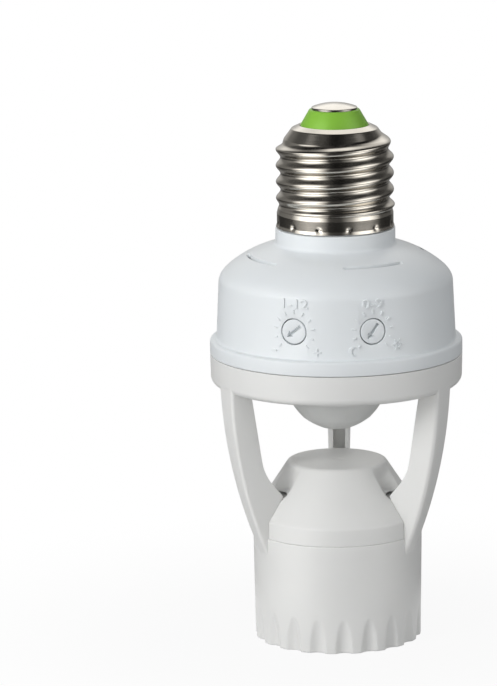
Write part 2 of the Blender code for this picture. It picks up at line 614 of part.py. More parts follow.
def vent_outline(azimuth):
    """One arc-shaped vent with round ends, seen from above."""
    half = VENT_ARC / 2
    width = VENT_WIDTH / 2
    outer = arc((0, 0), VENT_R + width, azimuth - half, azimuth + half, 6)
    inner = arc((0, 0), VENT_R - width, azimuth + half, azimuth - half, 6)
    far = (VENT_R * cos(radians(azimuth + half)), VENT_R * sin(radians(azimuth + half)))
    near = (VENT_R * cos(radians(azimuth - half)), VENT_R * sin(radians(azimuth - half)))
    far_end = arc(far, width, azimuth + half, azimuth + half + 180, 4)[1:-1]
    near_end = arc(near, width, azimuth - half + 180, azimuth - half + 360, 4)[1:-1]
    return outer + far_end + inner + near_end


def add_upper_housing():
    """Domed housing with vents, dial holes and three screw bosses."""
    housing = lathe("upper_housing", housing_profile(), COOL_WHITE)

    boss_foot = RING_FLOOR_TOP + GAP
    for azimuth in CASE_SCREW_AZIMUTHS:
        bm = bmesh.new()
        rod(bm, BOSS_R, boss_foot, BODY_TOP, turned(azimuth) @ Matrix.Translation((CASE_SCREW_R, 0, 0)))
        combine(housing, to_object("boss_solid_%d" % azimuth, bm, None), "UNION")

    bm = bmesh.new()
    for azimuth in CASE_SCREW_AZIMUTHS:
        place = turned(azimuth) @ Matrix.Translation((CASE_SCREW_R, 0, 0))
        rod(bm, CASE_SCREW_SHANK_R + GAP, boss_foot - GAP, boss_foot + CASE_SCREW_LENGTH, place)
    for azimuth in VENT_AZIMUTHS:
        prism(bm, vent_outline(azimuth), BODY_TOP, NECK_TOP)
    for azimuth, _ in DIALS.values():
        place = Matrix.Translation((0, 0, DIAL_Z)) @ facing(azimuth)
        rod(bm, DIAL_HOLE_R, DIAL_FACE_R - 2 * WALL, DIAL_FACE_R + WALL, place, KNOB_SIDES)
    combine(housing, to_object("housing_cutter", bm, None), "DIFFERENCE")


def thread_height(z, azimuth, low, high, phase_z):
    """Share of the crest of a right-hand round thread, faded out over half a pitch at its ends."""
    turn = (z - phase_z) / THREAD_PITCH - (azimuth - pi) / (2 * pi)
    fade = min(1.0, max(0.0, min(z - low, high - z) / (THREAD_PITCH / 2)))
    return (0.5 + 0.5 * cos(2 * pi * turn)) * fade


def add_cap_shell():
    """Rolled screw shell of the cap, with a round thread outside and a plain bore."""
    rows = round(THREAD_LENGTH / THREAD_PITCH * THREAD_ROWS)
    threaded = [(THREAD_ROOT_R, THREAD_FOOT + THREAD_LENGTH * i / rows) for i in range(rows + 1)]
    bore_r = THREAD_ROOT_R - CAP_SHELL_WALL
    step_z = THREAD_FOOT - CAP_SHELL_WALL
    outer = [(CAP_SHELL_R + CAP_SHELL_FLARE, CAP_SHELL_FOOT),
             (CAP_SHELL_R, CAP_SHELL_FOOT + 2 * CAP_SHELL_WALL), (CAP_SHELL_R, step_z)]
    outer += threaded + list(CAP_SHOULDER)
    inner = [(CAP_SHELL_HOLE_R, CAP_SHELL_TOP - CAP_SHELL_WALL / 2)]
    inner += [(r - CAP_SHELL_WALL, z - CAP_SHELL_WALL) for r, z in reversed(CAP_SHOULDER[:-1])]
    inner += [(bore_r, THREAD_TOP - CAP_SHELL_WALL), (bore_r, step_z - CAP_SHELL_WALL),
              (CAP_SHELL_R - CAP_SHELL_WALL, CAP_SHELL_STEP),
              (CAP_SHELL_R - CAP_SHELL_WALL, CAP_SHELL_FOOT)]
    bm = bmesh.new()
    spin_profile(bm, outer + inner, THREAD_SIDES)
    for vert in bm.verts:
        x, y, z = vert.co
        if THREAD_FOOT < z < THREAD_TOP and hypot(x, y) > THREAD_ROOT_R - CAP_SHELL_WALL / 4:
            share = thread_height(z, atan2(y, x), THREAD_FOOT, THREAD_TOP, THREAD_CREST_Z)
            grow = 1 + THREAD_DEPTH * share / THREAD_ROOT_R
            vert.co.x *= grow
            vert.co.y *= grow
    to_object("cap_shell", bm, NICKEL)


def add_cap_end():
    """Green insulator and the riveted centre contact."""
    hole_r = CONTACT_STEM_R + GAP
    shank_r = CAP_SHELL_HOLE_R - GAP
    lathe("cap_insulator", [
        (INSULATOR_TOP_R, INSULATOR_TOP), (INSULATOR_FOOT_R, INSULATOR_FOOT + GAP),
        (INSULATOR_FOOT_R, INSULATOR_FOOT), (shank_r, INSULATOR_FOOT),
        (shank_r, INSULATOR_FOOT - INSULATOR_SHANK), (hole_r, INSULATOR_FOOT - INSULATOR_SHANK),
        (hole_r, INSULATOR_TOP)], GREEN, CAP_END_SIDES)
    crown = CONTACT_BOTTOM + CONTACT_THICKNESS
    lathe("centre_contact", [
        (0.0, crown), (CONTACT_R * 0.55, crown - CONTACT_THICKNESS * 0.08),
        (CONTACT_R * 0.85, crown - CONTACT_THICKNESS * 0.35), (CONTACT_R, CONTACT_BOTTOM + CONTACT_THICKNESS / 4),
        (CONTACT_R, CONTACT_BOTTOM), (CONTACT_STEM_R, CONTACT_BOTTOM),
        (CONTACT_STEM_R, CONTACT_BOTTOM - CONTACT_STEM), (0.0, CONTACT_BOTTOM - CONTACT_STEM)],
        NICKEL, CAP_END_SIDES, closed=False)


def arrow_outline(angle):
    """Screwdriver slot shaped as an arrow, pointing at the given angle."""
    half = DIAL_SLOT_LENGTH / 2
    wide = DIAL_SLOT_WIDTH / 2
    neck = half - DIAL_ARROW_LENGTH
    plain = [(-half, -wide), (neck, -wide), (neck, -DIAL_ARROW_WIDTH / 2), (half, 0.0),
             (neck, DIAL_ARROW_WIDTH / 2), (neck, wide), (-half, wide)]
    c, s = cos(radians(angle)), sin(radians(angle))
    return [(x * c - y * s, x * s + y * c) for x, y in plain]


def add_dials():
    """Two trim dials, each turning on its own radial axis."""
    collar_top = DIAL_FACE_R - WALL - GAP * 2
    shaft_end = PLATE_R + GAP
    for label, (azimuth, pointing) in DIALS.items():
        soft = GAP / 2
        profile = [(0.0, 0.0), (DIAL_R - soft, 0.0), (DIAL_R, -soft), (DIAL_R, collar_top - DIAL_FACE_R),
                   (DIAL_COLLAR_R, collar_top - DIAL_FACE_R),
                   (DIAL_COLLAR_R, collar_top - DIAL_COLLAR - DIAL_FACE_R),
                   (DIAL_SHAFT_R, collar_top - DIAL_COLLAR - DIAL_FACE_R),
                   (DIAL_SHAFT_R, shaft_end - DIAL_FACE_R), (0.0, shaft_end - DIAL_FACE_R)]
        dial = lathe(label + "_dial", profile, COOL_WHITE, KNOB_SIDES, closed=False)
        place = Matrix.Translation((0, 0, DIAL_Z)) @ facing(azimuth) @ Matrix.Translation((0, 0, DIAL_FACE_R))
        dial.matrix_world = place
        bm = bmesh.new()
        prism(bm, arrow_outline(pointing), -DIAL_SLOT_DEPTH, DIAL_SLOT_DEPTH)
        cutter = to_object(label + "_dial_slot", bm, None)
        cutter.matrix_world = place
        combine(dial, cutter, "DIFFERENCE")


def add_case_screws():
    """Screws that pull the housing down onto the ring, from below."""
    seat = RING_BOTTOM + CASE_SCREW_HEAD + GAP
    for i, azimuth in enumerate(CASE_SCREW_AZIMUTHS, 1):
        place = turned(azimuth) @ Matrix.Translation((CASE_SCREW_R, 0, 0))
        lathe("case_screw_%d" % i, [
            (0.0, seat - CASE_SCREW_HEAD), (CASE_SCREW_HEAD_R * 0.7, seat - CASE_SCREW_HEAD),
            (CASE_SCREW_HEAD_R, seat - CASE_SCREW_HEAD / 2), (CASE_SCREW_HEAD_R, seat),
            (CASE_SCREW_SHANK_R, seat), (CASE_SCREW_SHANK_R, seat + CASE_SCREW_LENGTH),
            (0.0, seat + CASE_SCREW_LENGTH + CASE_SCREW_SHANK_R / 2)],
            STEEL, SMALL_SIDES, closed=False, place=place)


def cap_wall(z):
    """Radius of the straight cone of the socket cap."""
    return CAP_SKIRT_R - CAP_CONE_RUN * (z - CAP_SKIRT_TOP) / CAP_CONE_HEIGHT


def add_socket_cap():
    """Cone with a flat disc on top, hollowed below, with soft valleys and notches at the arms."""
    levels = [CAP_SKIRT_TOP + (CAP_CONE_HEIGHT - CAP_EDGE_R) * i / 4 for i in range(5)]
    corner = (CAP_DISC_R, CAP_DISC_Z)
    edge = rounded((cap_wall(levels[-1]), levels[-1]), corner, (0.0, CAP_DISC_Z), CAP_EDGE_R, 3)
    outer = [(0.0, CAP_DISC_Z), (CAP_DISC_R * 0.7, CAP_DISC_Z)] + list(reversed(edge))
    outer += [(cap_wall(z), z) for z in reversed(levels)]
    spigot_r = SLEEVE_BORE_R - GAP
    outer += [(CAP_SKIRT_R, CAP_FOOT), (spigot_r, CAP_FOOT), (spigot_r, SOCKET_TOP + GAP)]
    inner = [(spigot_r - WALL, SOCKET_TOP + GAP), (spigot_r - WALL, CAP_SKIRT_TOP - WALL),
             (CAP_DISC_R - WALL, CAP_DISC_Z - 2 * WALL), (0.0, CAP_DISC_Z - 2 * WALL)]
    bm = bmesh.new()
    spin_profile(bm, outer + inner, SIDES, closed=False)
    bmesh.ops.remove_doubles(bm, verts=bm.verts, dist=1e-7)
    for vert in bm.verts:
        x, y, z = vert.co
        r = hypot(x, y)
        if CAP_SKIRT_TOP < z < CAP_DISC_Z and r > cap_wall(z) - WALL / 2:
            offsets = [r * sin(atan2(y, x) - radians(a)) for a in ARM_AZIMUTHS
                       if cos(atan2(y, x) - radians(a)) > 0.7]
            height = (z - CAP_SKIRT_TOP) / CAP_CONE_HEIGHT
            for offset in offsets:
                dip = VALLEY_DEPTH * exp(-(2 * offset / VALLEY_WIDTH) ** 2) * sin(pi * height) ** 0.5
                vert.co.x -= dip * x / r
                vert.co.y -= dip * y / r
    cap = to_object("socket_cap", bm, WARM_WHITE)

    bm = bmesh.new()
    for azimuth in ARM_AZIMUTHS:
        low = SOCKET_TOP
        high = ARM_TIP[1] + GAP
        notch = [(ARM_TIP[0] - GAP, low), (SLEEVE_TOP_R + WALL, low), (SLEEVE_TOP_R + WALL, high),
                 (ARM_TIP[0] - GAP, high)]
        fin(bm, notch, lambda z: arm_width(z) + 2 * GAP, azimuth)
    combine(cap, to_object("notch_cutter", bm, None), "DIFFERENCE")


def add_wire_covers():
    """Strips that close the wired channels of the two front arms."""
    for side, azimuth in WIRED_ARMS.items():
        low = ARM_TIP[1] + 2 * GAP
        high = RING_BOTTOM - GAP
        front = arm_inner(GAP / 2, low, high)
        back = arm_inner(GAP / 2 + COVER_THICKNESS, low, high)
        bm = bmesh.new()
        fin(bm, front + list(reversed(back)), lambda z: CHANNEL_WIDTH - 2 * GAP, azimuth)
        to_object(side + "_wire_cover", bm, WARM_WHITE)


def add_sensor_plate():
    """Plate that closes the ring from inside, with the posts of the board."""
    plate = lathe("sensor_plate", [
        (PLATE_R, PLATE_BOTTOM), (LENS_R + GAP, PLATE_BOTTOM), (LENS_R + GAP, PLATE_TOP), (PLATE_R, PLATE_TOP)],
        WARM_WHITE, CUP_SIDES)
    for azimuth in CASE_SCREW_AZIMUTHS:
        bm = bmesh.new()
        rod(bm, POST_R, PLATE_BOTTOM + GAP, PLATE_TOP + POST_HEIGHT,
            turned(azimuth) @ Matrix.Translation((POST_PLACE_R, 0, 0)))
        combine(plate, to_object("post_solid_%d" % azimuth, bm, None), "UNION")


def add_lens():
    """Half-round lens with a straight rim and a flange that rests on the plate."""
    flange_bottom = PLATE_TOP + GAP
    flange_top = flange_bottom + LENS_FLANGE
    centre = (0.0, LENS_CENTRE_Z)
    outer = arc(centre, LENS_R, -90, 0, 7)
    inner = arc(centre, LENS_R - LENS_WALL, 0, -90, 5)
    profile = outer + [(LENS_R, flange_bottom), (LENS_FLANGE_R, flange_bottom), (LENS_FLANGE_R, flange_top),
                       (LENS_R - LENS_WALL, flange_top)] + inner
    lathe("lens_dome", profile, MILKY, CUP_SIDES, closed=False)


def add_socket():
    """Ceramic cup, threaded shell, centre leaf, terminals and their screws."""
    hole_r = TERMINAL_SCREW_SHANK_R + GAP
    cup = lathe("socket_insulator", [
        (0.0, SOCKET_TOP), (SOCKET_CUP_R, SOCKET_TOP), (SOCKET_CUP_R, SOCKET_FOOT),
        (SOCKET_CUP_BORE_R, SOCKET_FOOT), (SOCKET_CUP_BORE_R, SOCKET_FLOOR_BOTTOM),
        (0.0, SOCKET_FLOOR_BOTTOM)], CERAMIC, CUP_SIDES, closed=False)
    bm = bmesh.new()
    for azimuth in WIRED_ARMS.values():
        rod(bm, hole_r, SOCKET_TOP - TERMINAL_SCREW_SHANK, SOCKET_TOP + GAP,
            turned(azimuth) @ Matrix.Translation((TERMINAL_SCREW_PLACE_R, 0, 0)))
    combine(cup, to_object("terminal_hole_cutter", bm, None), "DIFFERENCE")

    bore_r = SOCKET_SHELL_R - SOCKET_SHELL_WALL
    top = SOCKET_FLOOR_BOTTOM - GAP
    low = SOCKET_SHELL_FOOT + SOCKET_SHELL_WALL
    high = top - 2 * SOCKET_SHELL_WALL
    rows = round((high - low) / THREAD_PITCH * SOCKET_THREAD_ROWS)
    threaded = [(bore_r, high + (low - high) * i / rows) for i in range(rows + 1)]
    profile = [(SOCKET_SHELL_R, SOCKET_SHELL_FOOT), (SOCKET_SHELL_R, top), (SOCKET_SHELL_HOLE_R, top),
               (SOCKET_SHELL_HOLE_R, top - SOCKET_SHELL_WALL), (bore_r, top - SOCKET_SHELL_WALL)]
    profile += threaded + [(bore_r, SOCKET_SHELL_FOOT)]
    bm = bmesh.new()
    spin_profile(bm, profile, SOCKET_THREAD_SIDES)
    for vert in bm.verts:
        x, y, z = vert.co
        if low < z < high and hypot(x, y) < bore_r + SOCKET_SHELL_WALL / 4:
            share = thread_height(z, atan2(y, x), low, high, low)
            shrink = 1 - SOCKET_THREAD_DEPTH * share / bore_r
            vert.co.x *= shrink
            vert.co.y *= shrink
    to_object("socket_shell", bm, BRASS)

    seat = SOCKET_FLOOR_BOTTOM - GAP
    foot = seat - LEAF_DROP
    path = [(-LEAF_TAIL, seat), (-LEAF_TAIL / 2, seat)] + bend(
        (-LEAF_TAIL / 2, seat), (0.0, foot), (LEAF_TAIL / 4, foot), 5)
    under = [(x, z - LEAF_THICKNESS) for x, z in path]
    bm = bmesh.new()
    fin(bm, path + list(reversed(under)), lambda z: LEAF_WIDTH, 0.0)
    to_object("centre_leaf", bm, BRASS)

    for side, azimuth in WIRED_ARMS.items():
        bottom = SOCKET_TOP + GAP
        long = TERMINAL_OUTER_R - TERMINAL_INNER_R
        place = turned(azimuth) @ Matrix.Translation(((TERMINAL_INNER_R + TERMINAL_OUTER_R) / 2, 0, 0))
        plate = block(side + "_terminal", (long, TERMINAL_WIDTH, TERMINAL_THICKNESS), (0, 0, bottom), BRASS,
                      edge=TERMINAL_THICKNESS / 6, turn=place)
        screw_place = turned(azimuth) @ Matrix.Translation((TERMINAL_SCREW_PLACE_R, 0, 0))
        bm = bmesh.new()
        rod(bm, hole_r, bottom - GAP, bottom + TERMINAL_THICKNESS + GAP, screw_place)
        combine(plate, to_object(side + "_terminal_cutter", bm, None), "DIFFERENCE")
        seat = bottom + TERMINAL_THICKNESS + GAP
        head = seat + TERMINAL_SCREW_HEAD
        end = SOCKET_TOP - TERMINAL_SCREW_SHANK + GAP
        lathe(side + "_terminal_screw", [
            (0.0, head), (TERMINAL_SCREW_HEAD_R * 0.7, head), (TERMINAL_SCREW_HEAD_R, seat + TERMINAL_SCREW_HEAD / 2),
            (TERMINAL_SCREW_HEAD_R, seat), (TERMINAL_SCREW_SHANK_R, seat), (TERMINAL_SCREW_SHANK_R, end),
            (0.0, end)], STEEL, SMALL_SIDES, closed=False, place=screw_place)


def on_board(shares):
    """Where a part stands on the board, from shares of the board's radius."""
    return (shares[0] * BOARD_R, shares[1] * BOARD_R, BOARD_TOP + GAP)


def add_board():
    """Circuit board on the posts, with the parts that such a board carries."""
    lathe("circuit_board", [(0.0, BOARD_TOP), (BOARD_R, BOARD_TOP), (BOARD_R, BOARD_BOTTOM), (0.0, BOARD_BOTTOM)],
          BOARD, CUP_SIDES, closed=False)
    top = BOARD_BOTTOM - GAP
    lathe("pir_sensor", [
        (0.0, top), (SENSOR_RIM_R, top), (SENSOR_RIM_R, top - GAP), (SENSOR_R, top - GAP),
        (SENSOR_R, top - SENSOR_HEIGHT + GAP), (SENSOR_R - GAP, top - SENSOR_HEIGHT), (0.0, top - SENSOR_HEIGHT)],
        STEEL, KNOB_SIDES, closed=False)
    place = Matrix.Translation((*PHOTOCELL_PLACE, 0))
    lathe("photocell", [(0.0, top), (PHOTOCELL_R, top), (PHOTOCELL_R, top - PHOTOCELL_HEIGHT),
                        (0.0, top - PHOTOCELL_HEIGHT)], BROWN, SMALL_SIDES, closed=False, place=place)
    bottom = BOARD_TOP + GAP
    for label, (azimuth, _) in DIALS.items():
        across, along = TRIMMER_SIZE
        place = turned(azimuth) @ Matrix.Translation((PLATE_R - along / 2, 0, 0))
        block(label + "_trimmer", (along, across, TRIMMER_TOP - bottom), (0, 0, bottom), BLUE, turn=place)
    block("relay", RELAY_SIZE, on_board(RELAY_PLACE), BLACK, edge=CASE_EDGE)
    block("film_capacitor", FILM_CAPACITOR_SIZE, on_board(FILM_CAPACITOR_PLACE), YELLOW, edge=CASE_EDGE)
    block("switching_chip", CHIP_SIZE, on_board(CHIP_PLACE), BLACK)
    place = Matrix.Translation((*on_board(ELECTROLYTIC_PLACE)[:2], 0))
    top = bottom + ELECTROLYTIC_HEIGHT
    lathe("electrolytic_capacitor", [
        (0.0, top), (ELECTROLYTIC_R - GAP, top), (ELECTROLYTIC_R, top - GAP), (ELECTROLYTIC_R, bottom),
        (0.0, bottom)], BLACK, KNOB_SIDES, closed=False, place=place)


def smooth_route(points, per_span):
    """Read points from a smooth curve through a route."""
    chain = [points[0] * 2 - points[1]] + points + [points[-1] * 2 - points[-2]]
    read = []
    for i in range(1, len(chain) - 2):
        p0, p1, p2, p3 = chain[i - 1:i + 3]
        for step in range(per_span):
            t = step / per_span
            read.append(0.5 * (2 * p1 + (p2 - p0) * t + (2 * p0 - 5 * p1 + 4 * p2 - p3) * t ** 2
                               + (3 * p1 - p0 - 3 * p2 + p3) * t ** 3))
    return read + [points[-1]]


def lead(name, route, finish, per_span=2):
    """An insulated lead along a route of points."""
    points = smooth_route([Vector(p) for p in route], per_span)
    curve = bpy.data.curves.new(name, "CURVE")
    curve.dimensions = "3D"
    curve.bevel_depth = LEAD_R
    curve.bevel_resolution = 1
    curve.use_fill_caps = True
    spline = curve.splines.new("POLY")
    spline.points.add(len(points) - 1)
    for point, place in zip(spline.points, points):
        point.co = (*place, 1.0)
    curve.materials.append(finish)
    piece = bpy.data.objects.new(name, curve)
    bpy.context.scene.collection.objects.link(piece)


def arm_back_r(z):
    """Radius of an arm's outer face at a height."""
    return ARM_BACK_CENTRE_R + sqrt(ARM_BACK_RADIUS ** 2 - (z - ARM_BACK_Z) ** 2)


def add_leads():
    """Leads from the screw cap to the board, and from the board down the front arms to the socket."""
    board = BOARD_TOP + GAP
    climb = CONTACT_BOTTOM - CONTACT_STEM - GAP - board
    for name, route, finish in (("centre_lead", CENTRE_ROUTE, RED), ("shell_lead", SHELL_ROUTE, BLACK)):
        lead(name, [(x * NECK_BORE_R, y * NECK_BORE_R, board + share * climb) for x, y, share in route], finish)

    under = BOARD_BOTTOM - GAP
    terminal_z = SOCKET_TOP + 3 * GAP + TERMINAL_THICKNESS + LEAD_R
    notch_r = SLEEVE_BORE_R + GAP
    start_r = PLATE_R - LEAD_INSET
    plane = [(start_r, under), (start_r + LEAD_DROP, under - LEAD_DROP),
             (PLATE_R + LEAD_R, PLATE_TOP + 2 * LEAD_R + GAP)]
    arm_length = RING_BOTTOM - SLEEVE_HEIGHT
    for z in [RING_FLOOR_TOP] + [SLEEVE_HEIGHT + arm_length * share for share in CHANNEL_HEIGHTS]:
        plane.append((arm_back_r(z) - ARM_WALL - 2 * LEAD_R, z))
    plane += [(notch_r, SLEEVE_HEIGHT + LEAD_NOTCH_RISE),
              (notch_r - ARM_TIP_RUN, SLEEVE_HEIGHT + LEAD_NOTCH_RISE / 3),
              (TERMINAL_SCREW_PLACE_R + TERMINAL_SCREW_HEAD_R + GAP, terminal_z)]
    for side, azimuth in WIRED_ARMS.items():
        place = turned(azimuth)
        lead("socket_%s_lead" % side, [place @ Vector((r, 0, z)) for r, z in plane], RED if side == "left" else BLACK)


add_lower_frame()
add_upper_housing()
add_cap_shell()
add_cap_end()
add_dials()
add_case_screws()
add_socket_cap()
add_wire_covers()
add_sensor_plate()
add_lens()
add_socket()
add_board()
add_leads()
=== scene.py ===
"""Looks of the motion sensor lamp holder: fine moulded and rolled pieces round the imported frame.

Lengths are in metres, MM turns millimetres into them. +Z is up and the trim dials face -Y.
Azimuths are in degrees, counter-clockwise from +X seen from above, so the front is at 270.
"""

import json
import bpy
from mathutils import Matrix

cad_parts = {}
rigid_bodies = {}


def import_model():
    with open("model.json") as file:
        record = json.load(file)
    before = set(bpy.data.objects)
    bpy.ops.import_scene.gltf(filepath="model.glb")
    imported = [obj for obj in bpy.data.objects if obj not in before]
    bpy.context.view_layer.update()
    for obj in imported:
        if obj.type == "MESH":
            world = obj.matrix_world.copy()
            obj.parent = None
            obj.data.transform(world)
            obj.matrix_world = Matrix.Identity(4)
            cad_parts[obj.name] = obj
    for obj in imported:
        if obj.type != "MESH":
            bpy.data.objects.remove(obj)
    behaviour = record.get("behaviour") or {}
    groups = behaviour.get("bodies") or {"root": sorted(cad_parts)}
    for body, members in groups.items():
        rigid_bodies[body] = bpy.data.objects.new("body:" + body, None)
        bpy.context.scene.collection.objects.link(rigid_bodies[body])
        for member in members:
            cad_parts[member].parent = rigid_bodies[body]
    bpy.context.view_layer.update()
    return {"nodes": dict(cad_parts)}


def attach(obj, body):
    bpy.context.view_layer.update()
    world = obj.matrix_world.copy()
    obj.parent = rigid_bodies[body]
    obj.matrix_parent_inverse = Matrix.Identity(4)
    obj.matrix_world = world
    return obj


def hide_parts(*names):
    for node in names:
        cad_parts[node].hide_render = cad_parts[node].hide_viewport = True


bl_info = {
    "name": "Motion sensor lamp holder",
    "version": (1, 0, 0),
    "blender": (4, 5, 0),
    "location": "3D View > Sidebar > Lamp holder",
    "description": "Builds the moulded, rolled and ceramic pieces of a lamp holder with a motion sensor",
    "category": "Add Mesh",
}

from math import acos, asin, atan2, cos, exp, hypot, pi, radians, sin, sqrt, tan

import bmesh
import bpy
from bpy.props import FloatProperty, IntProperty, PointerProperty, StringProperty
from mathutils import Matrix, Vector

for old in list(bpy.data.objects):
    bpy.data.objects.remove(old, do_unlink=True)

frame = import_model()

MM = 0.001
FRONT = 270.0
HOLDER = "holder"
MIDDLE = Vector((0, 0, 0.06))    # what the camera and the lamps look at
CLEAR = 0.3 * MM             # between pieces, and the reach of a cutter past what it cuts
WALL = 1.6 * MM

# Sleeve round the lamp socket
SLEEVE_TOP = 24.35 * MM
SLEEVE_R = 18.8 * MM
SLEEVE_MOUTH_R = 18.5 * MM
SLEEVE_BORE_R = 16.7 * MM
SLEEVE_LIP_R = 15.0 * MM
SLEEVE_LIP = 1.4 * MM
FLUTE_TURN = 5.3             # degrees from the front to the nearest flute

# Socket cap
CAP_SKIRT_R = 18.6 * MM
CAP_SKIRT_TOP = 28.2 * MM
CAP_DISC_R = 10.85 * MM
CAP_DISC_Z = 40.0 * MM
CAP_SPIGOT_R = 16.4 * MM
CAP_SPIGOT_BORE_R = 14.8 * MM
VALLEY_HALF = 3.3 * MM
GATE_DIMPLE_R = 1.1 * MM
GATE_DIMPLE_DEPTH = 0.14 * MM

# Ring
RING_R = 27.95 * MM
RING_FOOT_R = 27.8 * MM
RING_BOTTOM = 57.8 * MM
RING_FLOOR_TOP = 60.0 * MM
RING_TOP = 64.5 * MM
RING_HOLE_R = 20.0 * MM
TONGUE_R = 26.5 * MM
TONGUE_INNER_R = 25.7 * MM

# Arms
ARM_AZIMUTHS = (90.0, 210.0, 330.0)
ARM_TOP_R = RING_FOOT_R - 0.1 * MM
ARM_INNER_TOP_R = ARM_TOP_R - 4.9 * MM
ARM_TIP = (14.9 * MM, 33.8 * MM)
ARM_KNEE = (ARM_TIP[0] + (ARM_INNER_TOP_R - ARM_TIP[0]) * 0.5823,
            ARM_TIP[1] + (RING_BOTTOM - ARM_TIP[1]) * 0.2131)
ARM_KNEE_R = 12.0 * MM
ARM_ROOT = (18.07 * MM, 19.2 * MM)
ARM_BACK_Z = RING_BOTTOM + 5.2 * MM
ARM_BACK_CENTRE_R = ((ARM_TOP_R ** 2 + (ARM_BACK_Z - RING_BOTTOM) ** 2 - ARM_ROOT[0] ** 2
                      - (ARM_ROOT[1] - ARM_BACK_Z) ** 2) / (2 * (ARM_TOP_R - ARM_ROOT[0])))
ARM_BACK_R = hypot(ARM_TOP_R - ARM_BACK_CENTRE_R, ARM_BACK_Z - RING_BOTTOM)
ARM_WALL = 1.5 * MM
CHANNEL_WIDTH = 2.7 * MM

# Housing
HOUSING_FOOT = 64.8 * MM
SEAM = 0.15 * MM             # the moulded seams show narrower than the parts' clearance
FLANGE_TOP = 67.8 * MM
WALL_FOOT_R = 26.5 * MM
WALL_TOP_R = 25.9 * MM
WALL_TOP = 80.45 * MM
SHOULDER_R = 23.5 * MM
SHOULDER_END = 49.89
SHOULDER_END_R = WALL_TOP_R - 2.0 * MM
SHOULDER_CENTRE = (SHOULDER_END_R - SHOULDER_R * cos(radians(SHOULDER_END)),
                   WALL_TOP + 3.41 * MM - SHOULDER_R * sin(radians(SHOULDER_END)))
NECK_R = 13.24 * MM
NECK_TOP = 92.6 * MM
NECK_BORE_R = 10.0 * MM
SPIGOT_R = 12.16 * MM
SPIGOT_TOP = 95.1 * MM
VENT_R = 19.35 * MM
VENT_ARC = 41.0
VENT_AZIMUTHS = (28.0, 118.0, 208.0, 298.0)

# Case screws
CASE_SCREW_AZIMUTHS = (30.0, 150.0, 270.0)
CASE_SCREW_R = 23.4 * MM
SCREW_HEAD_R = 1.9 * MM
SCREW_SHANK_R = 1.1 * MM
SCREW_HOLE_R = 1.4 * MM
SCREW_RECESS_R = 2.2 * MM
BOSS_R = 2.0 * MM
BOSS_HOLE_TOP = 69.2 * MM

# Dials: name, azimuth, pointing angle seen from outside, body
DIALS = (("time", 250.9, 219.0, "time_knob"), ("lux", 289.1, 234.0, "lux_knob"))
DIAL_Z = 74.0 * MM
DIAL_R = 2.7 * MM
DIAL_COLLAR_R = 3.5 * MM
DIAL_SHAFT_R = 1.5 * MM
DIAL_HOLE_R = 2.95 * MM
DIAL_FACE_R = 26.1 * MM

# Raised marks round the dials
STROKE = 0.32 * MM
NUMERAL_HEIGHT = 2.0 * MM
NUMERAL_Y = 6.0 * MM
NUMERAL_STRETCH = 1.25
TICKS = 11
TICK_R = 4.35 * MM
TICK_START = 225
TICK_STEP = 27
SUN = (5.7 * MM, -3.3 * MM)
SUN_SIDES = 12

# Screw cap
THREAD_PITCH = 3.62 * MM
THREAD_ROOT_R = 12.0 * MM
THREAD_FOOT = 96.6 * MM
THREAD_TOP = 111.6 * MM
THREAD_CREST_Z = 106.4 * MM
THREAD_ROWS = 24             # rows of the mesh in one turn
SHELL_FOOT = 92.9 * MM
SHELL_R = 12.86 * MM
SHELL_WALL = 0.4 * MM
SHELL_LIP_R = 7.56 * MM
DIMPLES = 12
DIMPLE_RISE = 1.0 * MM
DIMPLE_HALF_WIDTH = 0.42 * MM
DIMPLE_HALF_HEIGHT = 0.48 * MM
DIMPLE_DEPTH = 0.34 * MM
SHOULDER_TOP = 115.3 * MM
INSULATOR_TOP = 118.8 * MM
INSULATOR_FOOT_R = 7.52 * MM
INSULATOR_SHANK_R = 7.0 * MM
INSULATOR_HOLE_R = 1.7 * MM
CONTACT_TOP = 120.2 * MM
CONTACT_RIM_R = 4.95 * MM
CONTACT_STEM_R = 1.4 * MM

# Lens and plate
LENS_R = 11.3 * MM
LENS_INNER_R = 10.5 * MM
LENS_FLANGE_R = 13.0 * MM
LENS_CENTRE_Z = RING_BOTTOM + 0.5 * MM
FACET_RINGS = ((18, 1), (42, 8), (64, 14), (90, 20))     # degrees from the pole, facets
PLATE_R = 21.0 * MM
PLATE_HOLE_R = LENS_R + 0.25 * MM
PLATE_BOTTOM = RING_FLOOR_TOP + CLEAR
PLATE_TOP = PLATE_BOTTOM + 1.5 * MM
POST_R = 1.6 * MM
POST_PLACE_R = 17.0 * MM

# Lamp socket
SOCKET_TOP = SLEEVE_TOP - 2.0 * MM
CUP_R = 16.4 * MM
CUP_BORE_R = 14.7 * MM
CUP_FOOT = 1.7 * MM
CUP_FLOOR = SOCKET_TOP - 3.2 * MM
SOCKET_SHELL_R = 14.4 * MM
SOCKET_SHELL_FOOT = 3.0 * MM
SOCKET_SHELL_WALL = 0.6 * MM
SOCKET_SHELL_HOLE_R = 8.0 * MM
SOCKET_THREAD_DEPTH = 0.9 * MM
SOCKET_THREAD_ROWS = 16
TERMINAL_AZIMUTHS = (210.0, 330.0)
TERMINAL_R = 8.0 * MM


def length(name, millimetres, text):
    """A length that the user can set."""
    return FloatProperty(name=name, description=text, default=millimetres * MM, unit="LENGTH", precision=5)


def colour(name, code, pieces):
    """An sRGB hex colour that the user can set."""
    return StringProperty(name=name, description="sRGB hex colour of " + pieces, default=code)


